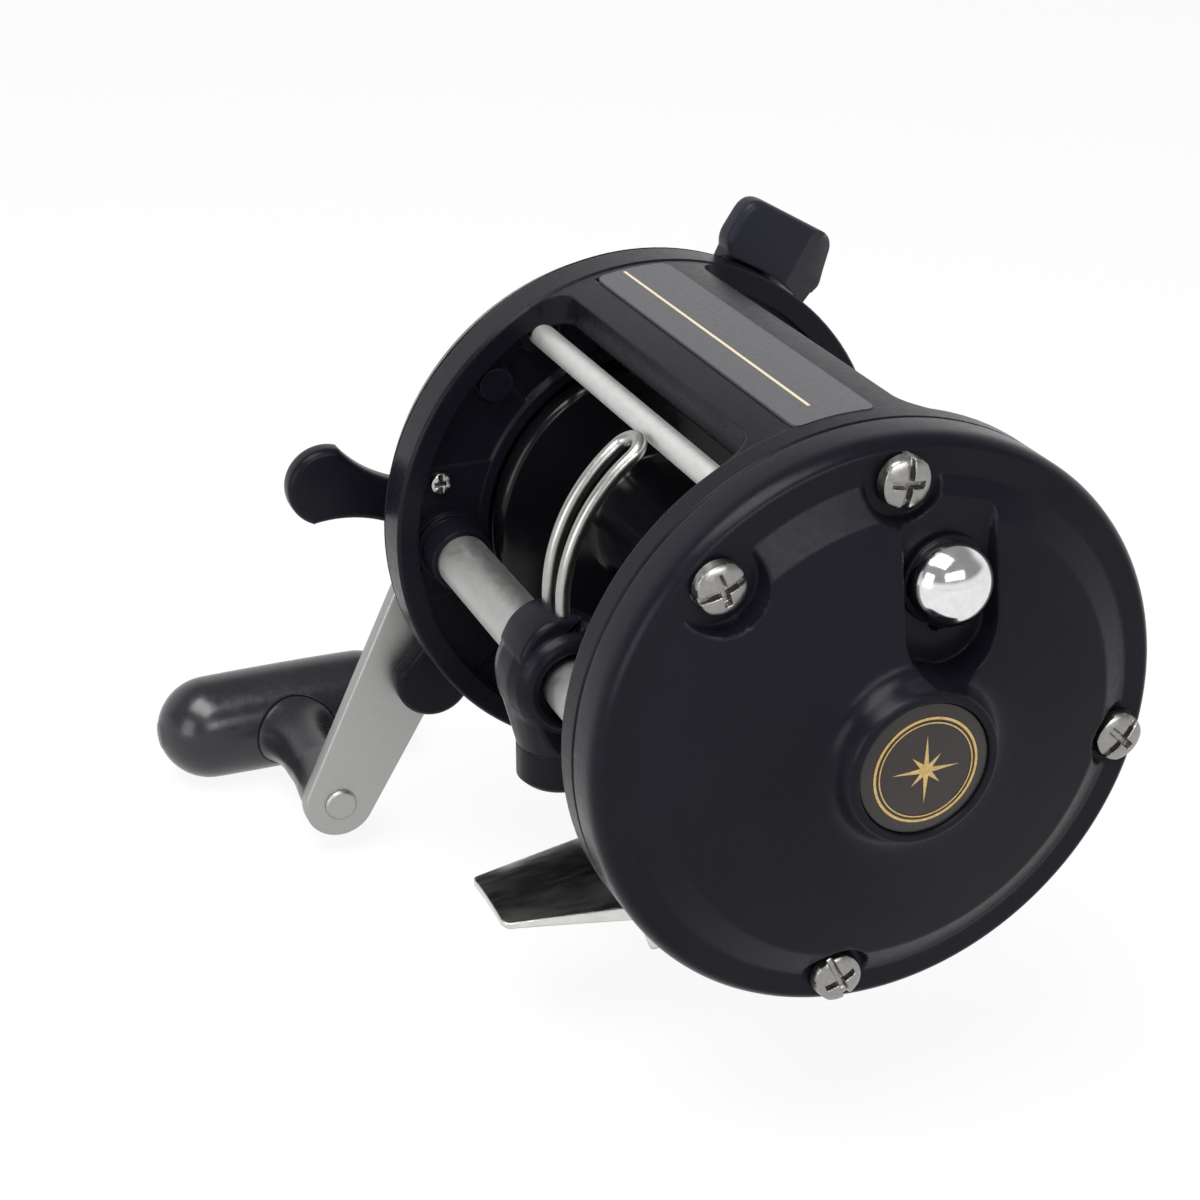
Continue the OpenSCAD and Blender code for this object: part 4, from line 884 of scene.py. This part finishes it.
# square grid drawn onto a disc; height is a dome less a slot across it and a shorter slot at right angles,
# with extra grid lines at the slots' walls
def headGrid(s, spin):
    w, reach = s["slot"] / s["radius"], s["reach"]
    near = np.concatenate([w + np.linspace(-0.035, 0.035, 5), [0, reach - 0.03, reach + 0.05]])
    k = np.unique(np.round(np.concatenate([np.linspace(-1, 1, 45), near, -near]), 5))
    u, v = np.meshgrid(k, k, indexing="ij")
    p, q = u * np.sqrt(1 - v * v / 2), v * np.sqrt(1 - u * u / 2)

    def inSlot(d):
        return 1 - smoothStep(w - s["wall"], w + s["wall"], abs(d))

    def inReach(d):
        return 1 - smoothStep(reach - s["reachWall"][0], reach + s["reachWall"][1], abs(d))

    bulge = np.sqrt(np.clip(1 - s["curve"] ** 2 * (p * p + q * q), 0, 1))
    drop = s["rim"] * smoothStep(s["rimFrom"], 1.0, np.maximum(abs(u), abs(v)))
    dome = s["rise"] * (s["rim"] + (1 - s["rim"]) * bulge - drop)
    cross = np.maximum(inSlot(p) * inReach(q), inReach(p) * inSlot(q))
    h = np.maximum(dome - np.maximum(s["slotDepth"] * inSlot(q), s["crossDepth"] * cross), 0.0)
    c, n = turnBy(spin) * s["radius"]
    return np.stack([h, p * c - q * n, p * n + q * c], -1)


# heads on their seats with the shank behind: way is the side they look to
def buildScrews(name, s, node):
    grids = []
    seat, way, r = s["seat"], s["way"], s["shank"]
    tip = seat - way * s["depth"]
    for angle, spin in zip(s["angles"], s["spins"]):
        at = s["circle"] * turnBy(angle)
        head = headGrid(s["head"], spin) * [way, 1, 1] + [seat, *at]
        shank = [(s["head"]["radius"], seat), (r, seat - way * s["under"]), (r, tip), (0, tip)]
        grids += [{"points": head, "closeCols": False}, turnedGrid(shank, at, 48)]
    gridPiece(name, grids, "reel_frame", metals["screw_satin"], [node], crease=38)


buildScrews("left_plate_screw_heads", leftScrews, "left_plate_screws")
buildScrews("right_plate_screw_heads", rightScrews, "right_plate_screws")


# left side plate

plateSpec = {"seam": -37.2, "radius": 40.0, "ledge": 7.4, "boss": 17.8, "bossFoot": 10.65, "footEdge": 0.3,
             "medal": 9.05, "medalDepth": 0.8, "medalEdge": 0.02, "pockets": (5.8, 5.2, 4.5, 4.5),
             "click": (-5.8, 21.5), "travel": 5.7, "channel": 6.5, "channelFloor": 9.0, "stem": 1.3,
             "stemTravel": 5.6, "stemFloor": 5.7, "draft": 0.32, "cavity": 5.3, "wall": 2.6, "edge": 0.3,
             "cove": 0.6, "backFrom": 4, "backCut": 0.15,
             "fine": ((33, 59), (77, 135), (178, 204), (267, 293)), "fineStep": 0.32, "step": 1.5}  # degrees


# turned profile of the face as rows of radius, height above the seam and rounding
def plateProfile(s):
    rim, m, top = s["radius"], s["medal"], s["boss"]
    sunk = top - s["medalDepth"]
    return np.array([(0, sunk, 0), (m, sunk, 0), (m + s["medalEdge"], top, 0), (10.3, top, 0.3),
                     (10.8, 16.7, 0.6), (11.3, 15.0, 0.8), (12.3, 13.8, 0.8), (13.8, 13.2, 0.8),
                     (16, 12.7, 1), (20, 12.0, 1), (26, 11.0, 1), (rim - 9.0, 10.1, 0.3),
                     (rim - 4.6, 7.5, 0.3), (rim - 1.3, s["ledge"], 0.3), (rim - 0.7, 6.9, 0.3),
                     (rim - 0.2, 6.1, 0.3), (rim, 5.2, 0)], float)


# height above the seam over a polar grid: the profile, lowered to a floor inside each screw's scallop, in the
# click channel that runs from the boss to the rim, and in the short slot of its stem
def plateHeight(s, screws, r, y, z):
    prof = plateProfile(s)
    soft = roundCorners(prof[:, :2], prof[:, 2], 6)
    h = np.interp(r, soft[:, 0], soft[:, 1])

    def lowered(h, floor, wide, dist, share=1):
        inside = (1 - smoothStep(wide - s["draft"], wide + s["draft"], dist)) * share
        return h + (np.minimum(h, floor) - h) * inside

    for angle, pocket in zip(screws["angles"], s["pockets"]):
        c = screws["circle"] * turnBy(angle)
        h = lowered(h, s["ledge"], pocket, np.hypot(y - c[0], z - c[1]))
    across, up = y - s["click"][0], z - s["click"][1]
    channel = np.hypot(across, np.minimum(up + s["travel"], 0))
    slot = np.hypot(across, up + np.clip(-up, 0, s["stemTravel"]))
    outside = smoothStep(s["bossFoot"] - s["footEdge"], s["bossFoot"] + s["footEdge"], r)
    h = lowered(h, s["channelFloor"], s["channel"], channel, outside)
    return lowered(h, s["stemFloor"], s["stem"], slot, outside)


# face over a polar grid that is finer near the screws and the channel, and a turned back with its cavity
def buildLeftPlate(s, screws):
    ends = [s["fine"][-1][1] - 360] + [f[1] for f in s["fine"][:-1]]
    dense = [np.arange(*f, s["fineStep"]) for f in s["fine"]]
    coarse = [np.arange(e, f[0], s["step"]) for e, f in zip(ends, s["fine"])]
    a = np.radians(np.unique(np.concatenate(dense + coarse)))
    m, rim, seam = s["medal"], s["radius"], s["seam"]
    r = np.unique(np.concatenate([np.linspace(0, m - 0.4, 5), m + np.linspace(-0.3, 0.3, 5),
                                  np.linspace(m + 0.5, 14.5, 30), np.linspace(14.8, 30, 42),
                                  np.linspace(30.3, rim, 52)]))
    rr, aa = np.meshgrid(r, a, indexing="ij")
    y, z = rr * np.cos(aa), rr * np.sin(aa)
    face = np.stack([seam - plateHeight(s, screws, rr, y, z), y, z], -1)
    inner, deep, edge = rim - s["wall"], seam - s["cavity"], s["edge"]
    back = roundCorners([(rim, seam - s["backFrom"]), (rim, seam - edge), (rim - edge, seam), (inner, seam),
                         (inner, deep + s["cove"]), (inner - s["cove"], deep), (0, deep)], s["backCut"], 4)
    br, bx = back[:, 0][:, None], back[:, 1][:, None]
    c, n = np.cos(a)[None], np.sin(a)[None]
    rear = np.stack([bx + 0 * c, br * c, br * n], -1)
    gridPiece("left_plate_moulding", [{"points": np.concatenate([face, rear])}], "reel_frame", black,
              ["left_side_plate"], crease=35)


buildLeftPlate(plateSpec, leftScrews)
print("scene pieces done")


# camera, floor and light

viewSpec = {"at": (-0.28318, 0.13676, 0.20103), "azimuth": 247.781, "elevation": 25.173, "lens": 72.843,
            "sensor": 36.0, "clip": 0.01}


# azimuth and elevation give the axis that points back from the view; right is level and up is square to both
def placeCamera(s):
    az, el = math.radians(s["azimuth"]), math.radians(s["elevation"])
    back = np.array([math.sin(az) * math.cos(el), -math.cos(az) * math.cos(el), math.sin(el)])
    right = np.array([math.cos(az), math.sin(az), 0.0])
    m = np.eye(4)
    m[:3] = np.stack([right, np.cross(back, right), back, s["at"]], -1)
    data = bpy.data.cameras.new("photo_camera")
    data.sensor_width = s["sensor"]
    data.lens = s["lens"]
    data.clip_start = s["clip"]
    cam = bpy.data.objects.new("photo_camera", data)
    cam.matrix_world = Matrix(m.tolist())
    bpy.context.scene.collection.objects.link(cam)
    bpy.context.scene.camera = cam


placeCamera(viewSpec)


# 1 for rays of the camera and for those that metal and glass send on, 0 for the light on matt surfaces
def seenDirectly(tree):
    path = tree.nodes.new("ShaderNodeLightPath")
    total = path.outputs["Is Camera Ray"]
    for kind in ("Is Glossy Ray", "Is Transmission Ray"):
        either = tree.nodes.new("ShaderNodeMath")
        either.operation = "MAXIMUM"
        tree.links.new(total, either.inputs[0])
        tree.links.new(path.outputs[kind], either.inputs[1])
        total = either.outputs[0]
    return total


floorSpec = {"half": 4.0, "z": cadBox[0][2] - 0.0004, "shadow": 0.1, "paper": 0.86}


# white to the camera and to reflections, with a share of the real shaded floor kept for the shadow
def buildFloor(s):
    h, z, grey = s["half"], s["z"], s["paper"]
    mesh = bpy.data.meshes.new("studio_floor")
    mesh.from_pydata([(-h, -h, z), (h, -h, z), (h, h, z), (-h, h, z)], [], [(0, 1, 2, 3)])
    floor = bpy.data.objects.new("studio_floor", mesh)
    bpy.context.scene.collection.objects.link(floor)
    b = NodeBench("studio_floor_white")
    b.tree.nodes.remove(b.shader)
    paper = b.add("ShaderNodeBsdfDiffuse")
    paper.inputs["Color"].default_value = (grey, grey, grey, 1)
    glow = b.add("ShaderNodeEmission")
    glow.inputs["Color"].default_value = (1, 1, 1, 1)
    mix = b.add("ShaderNodeMixShader")
    share = b.add("ShaderNodeMath", operation="MULTIPLY")
    b.tree.links.new(seenDirectly(b.tree), share.inputs[0])
    share.inputs[1].default_value = 1 - s["shadow"]
    b.tree.links.new(share.outputs[0], mix.inputs[0])
    b.tree.links.new(paper.outputs[0], mix.inputs[1])
    b.tree.links.new(glow.outputs[0], mix.inputs[2])
    b.tree.links.new(mix.outputs[0], b.out.inputs["Surface"])
    mesh.materials.append(b.material)


buildFloor(floorSpec)

lampSpecs = {
    "top_softbox": {"at": (-0.15, 0.3, 0.9), "look": (0, 0, 0.05), "size": (0.8, 0.5), "power": 11},
    "left_softbox": {"at": (-0.79, 0.02, 0.48), "look": (0, 0, 0.06), "size": (0.66, 0.24), "power": 3.2},
    "front_softbox": {"at": (-0.3, 0.85, 0.3), "look": (0, 0, 0.04), "size": (0.4, 0.5), "power": 2.4},
}


# soft boxes, each turned to look at its point
def placeLamps(specs):
    for name, s in specs.items():
        data = bpy.data.lights.new(name, "AREA")
        data.shape = "RECTANGLE"
        data.size, data.size_y = s["size"]
        data.energy = s["power"]
        lamp = bpy.data.objects.new(name, data)
        lamp.location = s["at"]
        d = Vector(s["look"]) - Vector(s["at"])
        lamp.rotation_euler = d.to_track_quat("-Z", "Y").to_euler()
        bpy.context.scene.collection.objects.link(lamp)


placeLamps(lampSpecs)

roomSpec = {"strength": 0.33, "behind": (0.926, -0.378, 0), "far": (0.0, 0.5), "height": (0.75, 0.45),
            "low": (0.3, 0.12)}


# soft grey room with a white backdrop behind the object and low down all round, which the camera and
# reflections see
def buildRoom(s):
    world = bpy.data.worlds.new("studio_room")
    bpy.context.scene.world = world
    world.use_nodes = True
    tree = world.node_tree
    tree.nodes.clear()

    def combine(kind, a, b):
        node = tree.nodes.new("ShaderNodeMath")
        node.operation = kind
        tree.links.new(a, node.inputs[0])
        tree.links.new(b, node.inputs[1])
        return node.outputs[0]

    def fade(source, ends):
        node = tree.nodes.new("ShaderNodeMapRange")
        node.interpolation_type = "SMOOTHSTEP"
        node.inputs["From Min"].default_value, node.inputs["From Max"].default_value = ends
        tree.links.new(source, node.inputs["Value"])
        return node.outputs["Result"]

    def glow(strength):
        node = tree.nodes.new("ShaderNodeBackground")
        node.inputs["Color"].default_value = (1, 1, 1, 1)
        node.inputs["Strength"].default_value = strength
        return node.outputs[0]

    way = tree.nodes.new("ShaderNodeTexCoord").outputs["Generated"]
    split = tree.nodes.new("ShaderNodeSeparateXYZ")
    tree.links.new(way, split.inputs[0])
    dot = tree.nodes.new("ShaderNodeVectorMath")
    dot.operation = "DOT_PRODUCT"
    tree.links.new(way, dot.inputs[0])
    dot.inputs[1].default_value = s["behind"]
    up = split.outputs["Z"]
    behind = combine("MULTIPLY", fade(dot.outputs["Value"], s["far"]), fade(up, s["height"]))
    share = combine("MULTIPLY", combine("MAXIMUM", behind, fade(up, s["low"])), seenDirectly(tree))
    mix = tree.nodes.new("ShaderNodeMixShader")
    tree.links.new(share, mix.inputs[0])
    tree.links.new(glow(s["strength"]), mix.inputs[1])
    tree.links.new(glow(1.0), mix.inputs[2])
    tree.links.new(mix.outputs[0], tree.nodes.new("ShaderNodeOutputWorld").inputs["Surface"])


buildRoom(roomSpec)
bpy.context.scene.view_settings.view_transform = "Standard"
print("stage done")
